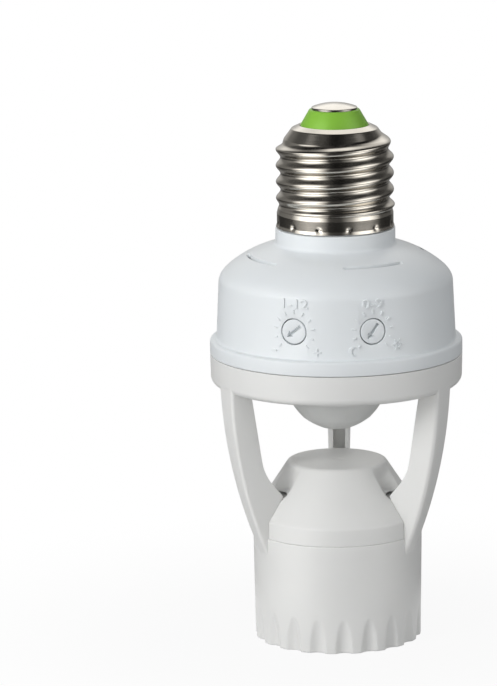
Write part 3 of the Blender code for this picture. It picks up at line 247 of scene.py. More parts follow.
class HolderLooks(bpy.types.PropertyGroup):
    """Sizes and colours that a user would change."""

    segments: IntProperty(
        name="Segments", description="Sides of a large turned piece", default=240, min=48, max=480)
    thread_depth: length("Thread depth", 1.0, "Depth of the rolled thread")
    flute_depth: length("Flute depth", 0.9, "Depth of the grip flutes at the mouth")
    flute_width: length("Flute width", 3.7, "Width of a flute at the mouth")
    flute_height: length("Flute height", 7.8, "Height of the pointed end of a flute")
    flute_count: IntProperty(
        name="Flutes", description="Number of grip flutes round the mouth", default=20, min=3, max=60)
    vent_width: length("Vent width", 0.85, "Width of the arc-shaped vents")
    valley_depth: length("Valley depth", 2.3, "Depth of the soft valleys in the socket cap at the arms")
    mark_height: length("Mark height", 0.28, "Height of the raised marks round the dials")
    facet_depth: length("Facet depth", 0.07, "Depth of the facets of the lens")
    cool_white: colour("Cool white", "#E6EAEC", "the upper housing and the dials")
    warm_white: colour("Warm white", "#E4E4E2", "the ring, arms, sleeve and socket cap")
    lens_white: colour("Lens white", "#E0E1DF", "the milky lens")
    green: colour("Green", "#84BE38", "the cap's insulator")
    nickel: colour("Nickel", "#D2CDC4", "the plated screw shell")


def looks():
    """The settings of this scene."""
    return bpy.context.scene.holder_looks


# Materials

def hex_linear(code):
    """Linear red, green, blue and alpha of an sRGB hex colour."""
    values = [int(code.lstrip("#")[i:i + 2], 16) / 255 for i in (0, 2, 4)]
    return [v / 12.92 if v <= 0.04045 else ((v + 0.055) / 1.055) ** 2.4 for v in values] + [1.0]


def shaded(code, factor):
    """A colour made darker or lighter by a factor, linear."""
    return [min(1.0, v * factor) for v in hex_linear(code)[:3]] + [1.0]


def set_inputs(tree, node, inputs):
    """Give a node's sockets values or links."""
    for key, value in inputs.items():
        if isinstance(value, bpy.types.NodeSocket):
            tree.links.new(value, node.inputs[key])
        else:
            node.inputs[key].default_value = value


def add_node(tree, kind, inputs=None, **settings):
    """Add a node, set its properties, and give its sockets values or links."""
    made = tree.nodes.new("ShaderNode" + kind)
    for key, value in settings.items():
        setattr(made, key, value)
    set_inputs(tree, made, inputs or {})
    return made


def empty_tree(owner):
    """The emptied node tree of a material or the world."""
    owner.use_nodes = True
    owner.node_tree.nodes.clear()
    return owner.node_tree


def start_material(name):
    """A new material with its tree, its Principled shader and the Object coordinates."""
    made = bpy.data.materials.new(name)
    tree = empty_tree(made)
    shader = add_node(tree, "BsdfPrincipled")
    add_node(tree, "OutputMaterial", {"Surface": shader.outputs[0]})
    place = add_node(tree, "TexCoord").outputs["Object"]
    return made, tree, shader, place


def moulded_plastic(name, code, roughness, grain=0.35 * MM, drift=0.035, soft=0.0):
    """Injection-moulded plastic: an even satin skin from the fine spark-eroded tool, with a slow
    drift of tone where the melt flowed and a little light inside the wall."""
    made, tree, shader, place = start_material(name)
    flow = add_node(tree, "TexNoise", {"Vector": place, "Scale": 1 / (14 * MM), "Detail": 2.0}).outputs[0]
    tint = add_node(tree, "Mix", {0: flow, 6: shaded(code, 1 - drift), 7: shaded(code, 1 + drift)},
                    data_type="RGBA")
    skin = add_node(tree, "TexNoise", {"Vector": place, "Scale": 1 / grain, "Detail": 3.0}).outputs[0]
    satin = {"Value": skin, "To Min": roughness - 0.05, "To Max": roughness + 0.05}
    rough = add_node(tree, "MapRange", satin)
    bump = add_node(tree, "Bump", {"Height": skin, "Strength": 0.6, "Distance": 0.004 * MM})
    set_inputs(tree, shader, {"Base Color": tint.outputs[2], "Roughness": rough.outputs[0],
                              "Normal": bump.outputs[0], "IOR": 1.5})
    if soft:
        set_inputs(tree, shader, {"Subsurface Weight": soft, "Subsurface Radius": (1.0, 0.95, 0.85),
                                  "Subsurface Scale": 1.2 * MM})
    return made


def plated_metal(name, code, roughness, depth=0.004 * MM):
    """Plated or bright sheet metal: rolling and plating leave faint marks that run round the axis,
    with slightly duller patches between them."""
    made, tree, shader, place = start_material(name)
    stretch = (1 / (9 * MM), 1 / (9 * MM), 1 / (0.35 * MM))
    scaled = add_node(tree, "Mapping", {"Vector": place, "Scale": stretch})
    marks = add_node(tree, "TexNoise", {"Vector": scaled.outputs[0], "Scale": 1.0, "Detail": 3.0}).outputs[0]
    patches = add_node(tree, "TexNoise", {"Vector": place, "Scale": 1 / (3.5 * MM), "Detail": 4.0}).outputs[0]
    tint = add_node(tree, "Mix", {0: patches, 6: shaded(code, 0.88), 7: shaded(code, 1.06)}, data_type="RGBA")
    dull = {"Value": patches, "To Min": roughness - 0.04, "To Max": roughness + 0.08}
    rough = add_node(tree, "MapRange", dull)
    bump = add_node(tree, "Bump", {"Height": marks, "Strength": 0.5, "Distance": depth})
    set_inputs(tree, shader, {"Base Color": tint.outputs[2], "Roughness": rough.outputs[0],
                              "Normal": bump.outputs[0], "Metallic": 1.0})
    return made


def steatite(name, code, roughness):
    """Pressed and fired steatite: chalky, with fine pores and faint specks."""
    made, tree, shader, place = start_material(name)
    pores = add_node(tree, "TexNoise", {"Vector": place, "Scale": 1 / (0.3 * MM), "Detail": 5.0}).outputs[0]
    specks = add_node(tree, "TexVoronoi", {"Vector": place, "Scale": 1 / (1.1 * MM)}).outputs["Distance"]
    near = add_node(tree, "MapRange", {"Value": specks}).outputs[0]
    tint = add_node(tree, "Mix", {0: near, 6: shaded(code, 0.86), 7: hex_linear(code)}, data_type="RGBA")
    bump = add_node(tree, "Bump", {"Height": pores, "Strength": 0.6, "Distance": 0.02 * MM})
    set_inputs(tree, shader, {"Base Color": tint.outputs[2], "Roughness": roughness,
                              "Normal": bump.outputs[0]})
    return made


# Finishes: how each is made, its colour or the setting that holds it, its roughness, and what else it has
FINISHES = {
    # White mouldings: satin, a touch of light inside the wall
    "cool_white_abs": (moulded_plastic, "cool_white", 0.36, {"soft": 0.08}),
    "warm_white_abs": (moulded_plastic, "warm_white", 0.40, {"soft": 0.08}),
    # Lens: duller, and the light spreads deep into it
    "milky_polyethylene": (moulded_plastic, "lens_white", 0.42, {"grain": 0.5 * MM, "soft": 0.25}),
    # Insulator: saturated, with streaks of tone
    "green_polypropylene": (moulded_plastic, "green", 0.38, {"drift": 0.06}),
    # Screw cap: bright, with marks of the rolling that break up its reflections
    "nickel_plated_shell": (plated_metal, "nickel", 0.14, {"depth": 0.012 * MM}),
    "nickel_plated_contact": (plated_metal, "#D8D4CC", 0.14, {}),
    # Sheet and fasteners inside: dull yellow brass, blue-grey zinc
    "stamped_brass": (plated_metal, "#C9A45C", 0.30, {}),
    "zinc_plated_steel": (plated_metal, "#B9BCC0", 0.34, {}),
    "fired_steatite": (steatite, "#D6D2CA", 0.7, {}),
    # Board and its parts: plain moulded or lacquered colours, uneven where they are dipped
    "solder_mask": (moulded_plastic, "#2E6B3A", 0.35, {"drift": 0.12}),
    "lacquered_photocell": (moulded_plastic, "#9A5A3C", 0.30, {"drift": 0.15}),
    "blue_trimmer_plastic": (moulded_plastic, "#2E5A9E", 0.38, {}),
    "yellow_capacitor_epoxy": (moulded_plastic, "#CBA02C", 0.32, {}),
    "black_moulding": (moulded_plastic, "#232425", 0.42, {"drift": 0.1}),
    "red_insulation": (moulded_plastic, "#B02420", 0.45, {"drift": 0.1}),
}
MATERIALS = {}


def finish(name):
    """The material of that name, made when it is first asked for."""
    if name not in MATERIALS:
        make, code, roughness, others = FINISHES[name]
        if not code.startswith("#"):
            code = getattr(looks(), code)
        MATERIALS[name] = make(name, code, roughness, **others)
    return MATERIALS[name]


# Shapes

def turned(azimuth):
    """Rotation that takes +X to the azimuth."""
    return Matrix.Rotation(radians(azimuth), 4, "Z")


def out_at(azimuth, radius):
    """Place on a radius at an azimuth, with +X outwards."""
    return turned(azimuth) @ Matrix.Translation((radius, 0, 0))


def facing(azimuth, z, distance):
    """Place of a flat thing that looks outwards along the azimuth, with +X to its right and +Y up."""
    outward = Vector((cos(radians(azimuth)), sin(radians(azimuth)), 0.0))
    right = Vector((0.0, 0.0, 1.0)).cross(outward)
    turn = Matrix((right, (0.0, 0.0, 1.0), outward)).transposed().to_4x4()
    return Matrix.Translation(outward * distance + Vector((0.0, 0.0, z))) @ turn


def polar(radius, angle, centre=(0.0, 0.0)):
    """A point in a plane at an angle in degrees round a centre."""
    return (centre[0] + radius * cos(radians(angle)), centre[1] + radius * sin(radians(angle)))


def arc(centre, radius, start, end, steps):
    """Points of an arc in a plane, from one angle in degrees to another, both included."""
    return [polar(radius, start + (end - start) * i / steps, centre) for i in range(steps + 1)]


def fillet(before, corner, after, radius, steps=6):
    """Points of a round corner between two straight runs."""
    a = (Vector(before) - Vector(corner)).normalized()
    b = (Vector(after) - Vector(corner)).normalized()
    half = acos(max(-1.0, min(1.0, a.dot(b)))) / 2
    reach = radius / tan(half)
    centre = Vector(corner) + (a + b).normalized() * (radius / sin(half))
    first = (Vector(corner) + a * reach - centre).normalized()
    last = (Vector(corner) + b * reach - centre).normalized()
    points = []
    for i in range(steps + 1):
        spoke = first.slerp(last, i / steps)
        points.append(tuple(centre + spoke.normalized() * radius))
    return points


def soft_line(points, radii, steps=6):
    """A line of points with round corners; a corner of radius 0 stays sharp."""
    line = [points[0]]
    for i in range(1, len(points) - 1):
        if radii[i]:
            line += fillet(points[i - 1], points[i], points[i + 1], radii[i], steps)
        else:
            line.append(points[i])
    return line + [points[-1]]


def along(start, end, steps):
    """Points of a straight run after its start."""
    return [tuple(s + (e - s) * i / steps for s, e in zip(start, end)) for i in range(1, steps + 1)]


def divided(line, longest):
    """A line of points with no step longer than about the given length."""
    fine = [line[0]]
    for start, end in zip(line, line[1:]):
        fine += along(start, end, max(1, round((Vector(end) - Vector(start)).length / longest)))
    return fine


def rectangle(length, width):
    """Corners of a rectangle about the middle."""
    x, y = length / 2, width / 2
    return [(-x, -y), (x, -y), (x, y), (-x, y)]


def spin(bm, profile, segments, closed=True):
    """Turn an (r, z) profile about Z; an open profile starts and ends on the axis."""
    verts = [bm.verts.new((r, 0.0, z)) for r, z in profile]
    pairs = list(zip(verts, verts[1:]))
    if closed:
        pairs.append((verts[-1], verts[0]))
    edges = [bm.edges.new(pair) for pair in pairs]
    bmesh.ops.spin(bm, geom=verts + edges, cent=(0, 0, 0), axis=(0, 0, 1), angle=2 * pi,
                   steps=segments, use_merge=True)
    bmesh.ops.remove_doubles(bm, verts=bm.verts, dist=1e-7)


def prism(bm, outline, low, high, place=None):
    """Add an extruded outline between two heights, and return its vertices."""
    verts = [bm.verts.new((x, y, low)) for x, y in outline]
    face = bm.faces.new(verts)
    grown = bmesh.ops.extrude_face_region(bm, geom=[face])["geom"]
    top = [item for item in grown if isinstance(item, bmesh.types.BMVert)]
    bmesh.ops.translate(bm, vec=(0, 0, high - low), verts=top)
    if place is not None:
        bmesh.ops.transform(bm, matrix=place, verts=verts + top)
    return verts + top


def rod(bm, radius, low, high, place=None, sides=24):
    """Add a straight cylinder about Z between two heights."""
    prism(bm, [(radius * cos(2 * pi * i / sides), radius * sin(2 * pi * i / sides)) for i in range(sides)],
          low, high, place)


def fan_volume(face):
    """Six times the signed volume between a face and the origin."""
    first, *rest = (vert.co for vert in face.verts)
    return sum(first.dot(a.cross(b)) for a, b in zip(rest, rest[1:]))


def face_outwards(bm):
    """Turn the faces of every closed shell outwards, thin curved ones too."""
    bmesh.ops.recalc_face_normals(bm, faces=bm.faces)
    waiting = set(bm.faces)
    while waiting:
        shell = [waiting.pop()]
        for face in shell:
            for other in {f for edge in face.edges for f in edge.link_faces} & waiting:
                waiting.remove(other)
                shell.append(other)
        if sum(fan_volume(face) for face in shell) < 0:
            bmesh.ops.reverse_faces(bm, faces=shell)


def new_object(name, data):
    """A new object in the scene."""
    made = bpy.data.objects.new(name, data)
    bpy.context.scene.collection.objects.link(made)
    return made


def put_in_order(bm):
    """List vertices, edges and faces by their place, because a spin lists them anew in each run."""
    for items in (bm.verts, bm.edges, bm.faces):
        items.index_update()
        middles = [tuple(sum((vert.co for vert in getattr(item, "verts", (item,))), Vector())) for item in items]
        ranks = [0] * len(middles)
        for rank, index in enumerate(sorted(range(len(middles)), key=middles.__getitem__)):
            ranks[index] = rank
        items.sort(key=lambda item: ranks[item.index])


def solid(name, bm):
    """Turn a bmesh into a closed, outward-facing object."""
    bmesh.ops.remove_doubles(bm, verts=bm.verts, dist=1e-7)
    bmesh.ops.dissolve_degenerate(bm, dist=1e-7, edges=bm.edges)
    put_in_order(bm)
    face_outwards(bm)
    mesh = bpy.data.meshes.new(name)
    bm.to_mesh(mesh)
    bm.free()
    return new_object(name, mesh)


def lathe(name, profile, segments, closed=True):
    """Turn an (r, z) profile about Z into an object."""
    bm = bmesh.new()
    spin(bm, profile, segments, closed)
    return solid(name, bm)


def rods(name, radius, low, high, azimuths, place_r):
    """Upright cylinders of one height, as one object."""
    bm = bmesh.new()
    for azimuth in azimuths:
        rod(bm, radius, low, high, out_at(azimuth, place_r))
    return solid(name, bm)


def finished_mesh(piece):
    """A new mesh of what an object shows with its modifiers."""
    shown = bpy.context.evaluated_depsgraph_get()
    return bpy.data.meshes.new_from_object(piece.evaluated_get(shown))


def apply_modifiers(piece):
    """Put what a piece's modifiers make into its own mesh."""
    mesh = finished_mesh(piece)
    piece.modifiers.clear()
    piece.data = mesh


def carve(piece, tool, operation="DIFFERENCE"):
    """Cut or join a piece with another object, which is used up."""
    change = piece.modifiers.new("carve", "BOOLEAN")
    change.operation = operation
    change.solver = "EXACT"
    change.object = tool
    apply_modifiers(piece)
    bpy.data.objects.remove(tool, do_unlink=True)


def ease_edges(piece, width, angle=38, segments=2):
    """Round the sharp edges of a finished piece a little."""
    change = piece.modifiers.new("ease", "BEVEL")
    change.width = width
    change.segments = segments
    change.limit_method = "ANGLE"
    change.angle_limit = radians(angle)
    change.use_clamp_overlap = True
    apply_modifiers(piece)


def dress(piece, material, nodes=(), body=HOLDER, sharp=34):
    """Give a piece its finish and its body, and hide the nodes that it stands for."""
    piece.data.materials.clear()
    piece.data.materials.append(finish(material))
    piece.data.shade_smooth()
    piece.data.set_sharp_from_angle(angle=radians(sharp))
    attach(piece, body)
    if nodes:
        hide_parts(*nodes)
    return piece


# Screw cap

def smooth_step(value, low, high):
    """0 below the low end, 1 above the high end, and a soft rise between them."""
    share = min(1.0, max(0.0, (value - low) / (high - low)))
    return share * share * (3 - 2 * share)


def thread_share(z, azimuth, phase_z, foot_fade):
    """Share of the crest of a right-hand round thread, faded in at its foot."""
    turn = (z - phase_z) / THREAD_PITCH - (azimuth - pi) / (2 * pi)
    return (0.5 + 0.5 * cos(2 * pi * turn)) * smooth_step(z, *foot_fade)


def thread_root(z):
    """Root radius of the shell's thread, wider where it runs out into the skirt."""
    below = 0.75 * MM * (1 - smooth_step(z, THREAD_FOOT - 0.6 * MM, THREAD_FOOT + 2.2 * MM))
    return THREAD_ROOT_R + below


def neck_r(z):
    """Radius of the shell's neck, which the last turn of the thread drops down to."""
    return THREAD_ROOT_R - 0.6 * MM * smooth_step(z, THREAD_TOP - 3.6 * MM, THREAD_TOP - 0.6 * MM)


def threaded_share(z, azimuth):
    """1 on the thread, 0 above its last turn, which itself runs out behind the right side."""
    around = azimuth + pi
    above = (z - THREAD_CREST_Z) / THREAD_PITCH - 1 - around / (2 * pi)
    last = 1 - smooth_step(around, 2.0, 4.6)
    return last * (1 - smooth_step(above, 0.0, 0.45)) + (1 - last) * (1 - smooth_step(above + 1, 0.0, 0.45))


def add_screw_shell():
    """Rolled shell with its thread, domed shoulder, straight skirt and punched dimples."""
    depth = looks().thread_depth
    skirt_top = THREAD_FOOT - 1.1 * MM
    flare = [(SHELL_R + 0.2 * MM, SHELL_FOOT), (SHELL_R + 0.12 * MM, SHELL_FOOT + 0.25 * MM),
             (SHELL_R, SHELL_FOOT + 0.6 * MM)]
    skirt = along(flare[-1], (SHELL_R, skirt_top), 20)
    rows = round((THREAD_TOP - THREAD_FOOT) / THREAD_PITCH * THREAD_ROWS)
    heights = [THREAD_FOOT + (THREAD_TOP - THREAD_FOOT) * i / rows for i in range(rows + 1)]
    thread = [(thread_root(z) + neck_r(z) - THREAD_ROOT_R, z) for z in heights]
    bead = fillet(skirt[-2], (SHELL_R, THREAD_FOOT - 0.75 * MM), thread[0], 0.5 * MM, 5)
    dome = soft_line([thread[-1], (11.2 * MM, 112.3 * MM), (9.5 * MM, 114.62 * MM),
                      (7.85 * MM, SHOULDER_TOP + 0.12 * MM), (SHELL_LIP_R, SHOULDER_TOP - 0.1 * MM)],
                     [0, 0.6 * MM, 0.6 * MM, 0.15 * MM, 0], 8)
    outer = flare + skirt[:-1] + bead + thread + divided(dome, 0.15 * MM)[1:]
    root_r = THREAD_ROOT_R - SHELL_WALL
    inner = [(SHELL_LIP_R, 114.8 * MM), (8.7 * MM, 114.6 * MM), (9.6 * MM, 113.9 * MM),
             (10.1 * MM, 112.9 * MM), (10.6 * MM, THREAD_TOP), (root_r, THREAD_TOP - 3.4 * MM),
             (root_r, THREAD_FOOT + 2.0 * MM), (SHELL_R - SHELL_WALL, THREAD_FOOT - 3 * SHELL_WALL),
             (SHELL_R - SHELL_WALL, SHELL_FOOT)]
    bm = bmesh.new()
    spin(bm, outer + inner, looks().segments)
    dimples = [radians(15 + 360 // DIMPLES * i) for i in range(DIMPLES)]
    dimple_z = SHELL_FOOT + DIMPLE_RISE
    for vert in bm.verts:
        x, y, z = vert.co
        r = hypot(x, y)
        azimuth = atan2(y, x)
        move = 0.0
        skin_r = neck_r(z) - SHELL_WALL / 4 if z < THREAD_TOP + SHELL_WALL / 8 else 10.35 * MM
        if z > THREAD_FOOT and r > skin_r:
            share = thread_share(z, azimuth, THREAD_CREST_Z, (THREAD_FOOT, THREAD_FOOT + 1.2 * MM))
            move = (thread_root(z) + depth * share - r) * threaded_share(z, azimuth)
        elif z < skirt_top and r > SHELL_R - SHELL_WALL / 2:
            for dimple in dimples:
                across = r * sin(azimuth - dimple) / DIMPLE_HALF_WIDTH
                up = (z - dimple_z) / DIMPLE_HALF_HEIGHT
                if cos(azimuth - dimple) > 0:
                    move -= DIMPLE_DEPTH * exp(-across ** 2 - up ** 2)
        vert.co.x += move * x / r
        vert.co.y += move * y / r
    shell = solid("rolled_screw_shell", bm)
    dress(shell, "nickel_plated_shell", ["cap_shell"], sharp=50)


def add_cap_end():
    """Green insulator cone and the domed centre contact."""
    sides = looks().segments // 2
    step = SHOULDER_TOP - 1.2 * MM
    cone = soft_line([(INSULATOR_HOLE_R, INSULATOR_TOP), (5.5 * MM, INSULATOR_TOP),
                      (INSULATOR_FOOT_R, SHOULDER_TOP), (INSULATOR_FOOT_R, step), (INSULATOR_SHANK_R, step)],
                     [0, 0.45 * MM, 0, 0, 0])
    shank = [(INSULATOR_SHANK_R, THREAD_TOP), (INSULATOR_HOLE_R, THREAD_TOP)]
    insulator = lathe("green_insulator", cone + shank, sides)
    dress(insulator, "green_polypropylene", ["cap_insulator"])

    foot = INSULATOR_TOP + 0.05 * MM
    rise = CONTACT_TOP - foot - 0.42 * MM
    dome_r = (CONTACT_RIM_R ** 2 + rise ** 2) / (2 * rise)
    reach = asin(CONTACT_RIM_R / dome_r) * 180 / pi
    crown = arc((0.0, CONTACT_TOP - dome_r), dome_r, 90, 90 - reach, 16)
    rim_r = CONTACT_RIM_R + 0.06 * MM
    stem_foot = THREAD_TOP + 1.0 * MM
    rest = [(rim_r, foot + 0.36 * MM), (rim_r, foot), (CONTACT_STEM_R, foot), (CONTACT_STEM_R, stem_foot),
            (0.0, stem_foot)]
    contact = lathe("domed_contact", crown + rest, sides, closed=False)
    dress(contact, "nickel_plated_contact", ["centre_contact"])


# Upper housing

def wall_r(z):
    """Outer radius of the drafted wall of the housing."""
    return WALL_FOOT_R + (WALL_TOP_R - WALL_FOOT_R) * (z - FLANGE_TOP) / (WALL_TOP - FLANGE_TOP)


def housing_line():
    """Section of the housing's outer skin from the spigot to its foot."""
    neck_angle = acos((NECK_R - SHOULDER_CENTRE[0]) / SHOULDER_R) * 180 / pi
    dome = arc(SHOULDER_CENTRE, SHOULDER_R, neck_angle - 2.4, SHOULDER_END, 22)
    neck_foot = (NECK_R, SHOULDER_CENTRE[1] + SHOULDER_R * sin(radians(neck_angle)))
    neck = [(NECK_BORE_R, SPIGOT_TOP), (SPIGOT_R, SPIGOT_TOP), (SPIGOT_R, NECK_TOP)]
    neck += fillet((SPIGOT_R, NECK_TOP), (NECK_R, NECK_TOP), neck_foot, 0.3 * MM, 4)
    neck += fillet((NECK_R, NECK_TOP), neck_foot, dome[0], 0.8 * MM, 8)
    corner = (WALL_TOP_R, dome[-1][1] - (WALL_TOP_R - dome[-1][0]) / tan(radians(SHOULDER_END)))
    ends = (dome[-1], corner, (WALL_TOP_R, WALL_TOP))
    bend = []
    for i in range(1, 11):
        t = i / 10
        weights = ((1 - t) ** 2, 2 * t * (1 - t), t * t)
        bend.append(tuple(sum(w * p[k] for w, p in zip(weights, ends)) for k in (0, 1)))
    foot_z = HOUSING_FOOT - SEAM
    foot = soft_line([(WALL_TOP_R, WALL_TOP), (WALL_FOOT_R, FLANGE_TOP), (RING_R, FLANGE_TOP),
                      (RING_R, foot_z), (WALL_FOOT_R + CLEAR, foot_z)],
                     [0, 0.35 * MM, 0.6 * MM, 0.15 * MM, 0], 5)
    return neck + dome[1:] + bend + foot[1:]


def vent_outline(azimuth):
    """One arc-shaped vent with round ends, seen from above."""
    half = VENT_ARC / 2
    width = looks().vent_width / 2
    outer = arc((0, 0), VENT_R + width, azimuth - half, azimuth + half, 24)
    inner = arc((0, 0), VENT_R - width, azimuth + half, azimuth - half, 24)
    far = arc(polar(VENT_R, azimuth + half), width, azimuth + half, azimuth + half + 180, 8)[1:-1]
    near = arc(polar(VENT_R, azimuth - half), width, azimuth - half + 180, azimuth - half + 360, 8)[1:-1]
    return outer + far + inner + near


def add_housing():
    """Domed housing with its vents, dial holes and screw bosses."""
    inner_r = SHOULDER_R - WALL
    start = acos((22.7 * MM - SHOULDER_CENTRE[0]) / inner_r) * 180 / pi
    end = acos((NECK_BORE_R - SHOULDER_CENTRE[0]) / inner_r) * 180 / pi
    inner = [(26.8 * MM, HOUSING_FOOT - SEAM), (26.8 * MM, HOUSING_FOOT + 1.9 * MM),
             (24.9 * MM, FLANGE_TOP + 0.7 * MM), (24.3 * MM, WALL_TOP - WALL)]
    inner += arc(SHOULDER_CENTRE, inner_r, start, end, 10)
    housing = lathe("upper_housing_moulding", housing_line()[:-1] + inner, looks().segments)
    bosses = rods("bosses", BOSS_R, RING_FLOOR_TOP + CLEAR, WALL_TOP, CASE_SCREW_AZIMUTHS, CASE_SCREW_R)
    carve(housing, bosses, "UNION")

    bm = bmesh.new()
    for azimuth in CASE_SCREW_AZIMUTHS:
        rod(bm, SCREW_HOLE_R, RING_FLOOR_TOP, BOSS_HOLE_TOP, out_at(azimuth, CASE_SCREW_R))
    for azimuth in VENT_AZIMUTHS:
        prism(bm, vent_outline(azimuth), WALL_TOP, NECK_TOP)
    for _, azimuth, _, _ in DIALS:
        rod(bm, DIAL_HOLE_R, -4 * MM, 2 * MM, facing(azimuth, DIAL_Z, DIAL_FACE_R), 64)
    carve(housing, solid("housing_cutters", bm))
    ease_edges(housing, 0.10 * MM, angle=40)
    dress(housing, "cool_white_abs", ["upper_housing"])


def wrap(bm, azimuth):
    """Lay flat marks, drawn round a dial's centre, onto the round wall; their z is the height above it."""
    for vert in bm.verts:
        z = DIAL_Z + vert.co.y
        base = wall_r(z)
        angle = radians(azimuth) + vert.co.x / base
        r = base + vert.co.z
        vert.co = Vector((r * cos(angle), r * sin(angle), z))


def numerals(text, height, raised):
    """A bmesh of raised numerals, centred on their middle, lying in the XY plane."""
    curve = bpy.data.curves.new("numerals", "FONT")
    curve.body = text
    curve.size = height / 0.7
    curve.align_x = "CENTER"
    curve.align_y = "CENTER"
    curve.extrude = raised
    curve.resolution_u = 6
    curve.offset = height * 0.02
    holder = new_object("numerals", curve)
    bm = bmesh.new()
    bm.from_mesh(finished_mesh(holder))
    bpy.data.objects.remove(holder, do_unlink=True)
    return bm


def bar(bm, centre, length, width, angle, raised):
    """Add a raised straight stroke."""
    place = Matrix.Translation((*centre, 0)) @ Matrix.Rotation(radians(angle), 4, "Z")
    prism(bm, rectangle(length, width), -raised, raised, place)


def add_minus_and_plus(bm, raised):
    """Add a minus left of a dial and a plus right of it, of strokes that don't overlap."""
    for x, y, length, angle in ((-4.6, -4.3, 1.3, 0), (5.3, -4.3, 1.7, 0), (5.3, -3.8, 0.69, 90),
                                (5.3, -4.8, 0.69, 90)):
        bar(bm, (x * MM, y * MM), length * MM, STROKE, angle, raised)


def add_moon_and_sun(bm, raised):
    """Add a crescent left of a dial and a ring with rays right of it."""
    moon = arc((-4.5 * MM, -4.1 * MM), 1.0 * MM, 53, 307, 16)
    moon += arc((-4.0 * MM, -4.1 * MM), 0.8 * MM, 274, 86, 12)
    prism(bm, moon, -raised, raised)
    for i in range(SUN_SIDES):
        angle = 360 // SUN_SIDES * i
        bar(bm, polar(0.62 * MM, angle, SUN), 0.34 * MM, 0.2 * MM, angle + 90, raised)
        if i % 2 == 0:
            bar(bm, polar(1.1 * MM, angle, SUN), 0.45 * MM, 0.2 * MM, angle, raised)


def add_marks():
    """Raised generic marks: numerals, ticks, minus and plus, and a moon and a sun for dark and bright."""
    raised = looks().mark_height
    for name, azimuth, _, _ in DIALS:
        bm = numerals("1-12" if name == "time" else "0-9", NUMERAL_HEIGHT, raised)
        bmesh.ops.scale(bm, vec=(NUMERAL_STRETCH, 1, 1), verts=bm.verts)
        bmesh.ops.translate(bm, vec=(0, NUMERAL_Y, 0), verts=bm.verts)
        for i in range(TICKS):
            angle = TICK_START - TICK_STEP * i
            bar(bm, polar(TICK_R, angle), 0.8 * MM, 0.24 * MM, angle, raised)
        if name == "time":
            add_minus_and_plus(bm, raised)
        else:
            add_moon_and_sun(bm, raised)
        long_edges = [edge for edge in bm.edges if edge.calc_length() > 0.6 * MM]
        bmesh.ops.subdivide_edges(bm, edges=long_edges, cuts=2)
        wrap(bm, azimuth)
        marks = solid("%s_dial_marks" % name, bm)
        ease_edges(marks, 0.05 * MM, angle=50)
        dress(marks, "cool_white_abs")


def add_dials():
    """Two trim dials with an arrow-shaped slot, each on its own body."""
    line = soft_line([(0, 0), (DIAL_R, 0), (DIAL_R, -2.2 * MM), (DIAL_COLLAR_R, -2.2 * MM),
                      (DIAL_COLLAR_R, -3.2 * MM), (DIAL_SHAFT_R, -3.2 * MM), (DIAL_SHAFT_R, -4.8 * MM),
                      (0, -4.8 * MM)], [0, 0.15 * MM, 0, 0, 0, 0, 0, 0], 4)
    half, wide, neck, head = 2.0 * MM, 0.36 * MM, 0.7 * MM, 0.85 * MM
    arrow = [(-half, -wide), (neck, -wide), (neck, -head), (half, 0), (neck, head), (neck, wide),
             (-half, wide)]
    for name, azimuth, pointing, body in DIALS:
        dial = lathe("%s_trim_dial" % name, line, 64, closed=False)
        bm = bmesh.new()
        prism(bm, arrow, -1.2 * MM, 0.8 * MM, Matrix.Rotation(radians(pointing), 4, "Z"))
        carve(dial, solid("slot", bm))
        ease_edges(dial, 0.08 * MM)
        dial.data.transform(facing(azimuth, DIAL_Z, DIAL_FACE_R))
        dress(dial, "cool_white_abs", ["%s_dial" % name], body=body)


# Lower frame

def arm_width(z):
    """Tangential width of an arm, wider towards the ring."""
    return (4.2 + 1.6 * (z - SLEEVE_TOP) / (RING_BOTTOM - SLEEVE_TOP)) * MM


def arm_back(inset, low, high, steps):
    """Points down the outer face of an arm."""
    radius = ARM_BACK_R - inset
    start, end = (asin((z - ARM_BACK_Z) / radius) * 180 / pi for z in (high, low))
    return arc((ARM_BACK_CENTRE_R, ARM_BACK_Z), radius, start, end, steps)


def arm_inner(shift, low, high):
    """Points up the inner edges of an arm, from its tip to the ring."""
    foot, knee, top = ((p[0] + shift, p[1]) for p in (ARM_TIP, ARM_KNEE, (ARM_INNER_TOP_R, RING_BOTTOM)))
    slope = (top[0] - knee[0]) / (top[1] - knee[1])
    lean = (knee[0] - foot[0]) / (knee[1] - foot[1])
    first = (knee[0] + lean * (low - knee[1]), low)
    last = (knee[0] + slope * (high - knee[1]), high)
    return [first] + fillet(foot, knee, top, ARM_KNEE_R, 16) + [last]


def at_arm_back(vert):
    """Whether a vertex lies on the outer face of an arm."""
    return hypot(vert.co.x - ARM_BACK_CENTRE_R, vert.co.z - ARM_BACK_Z) > ARM_BACK_R - 0.05 * MM


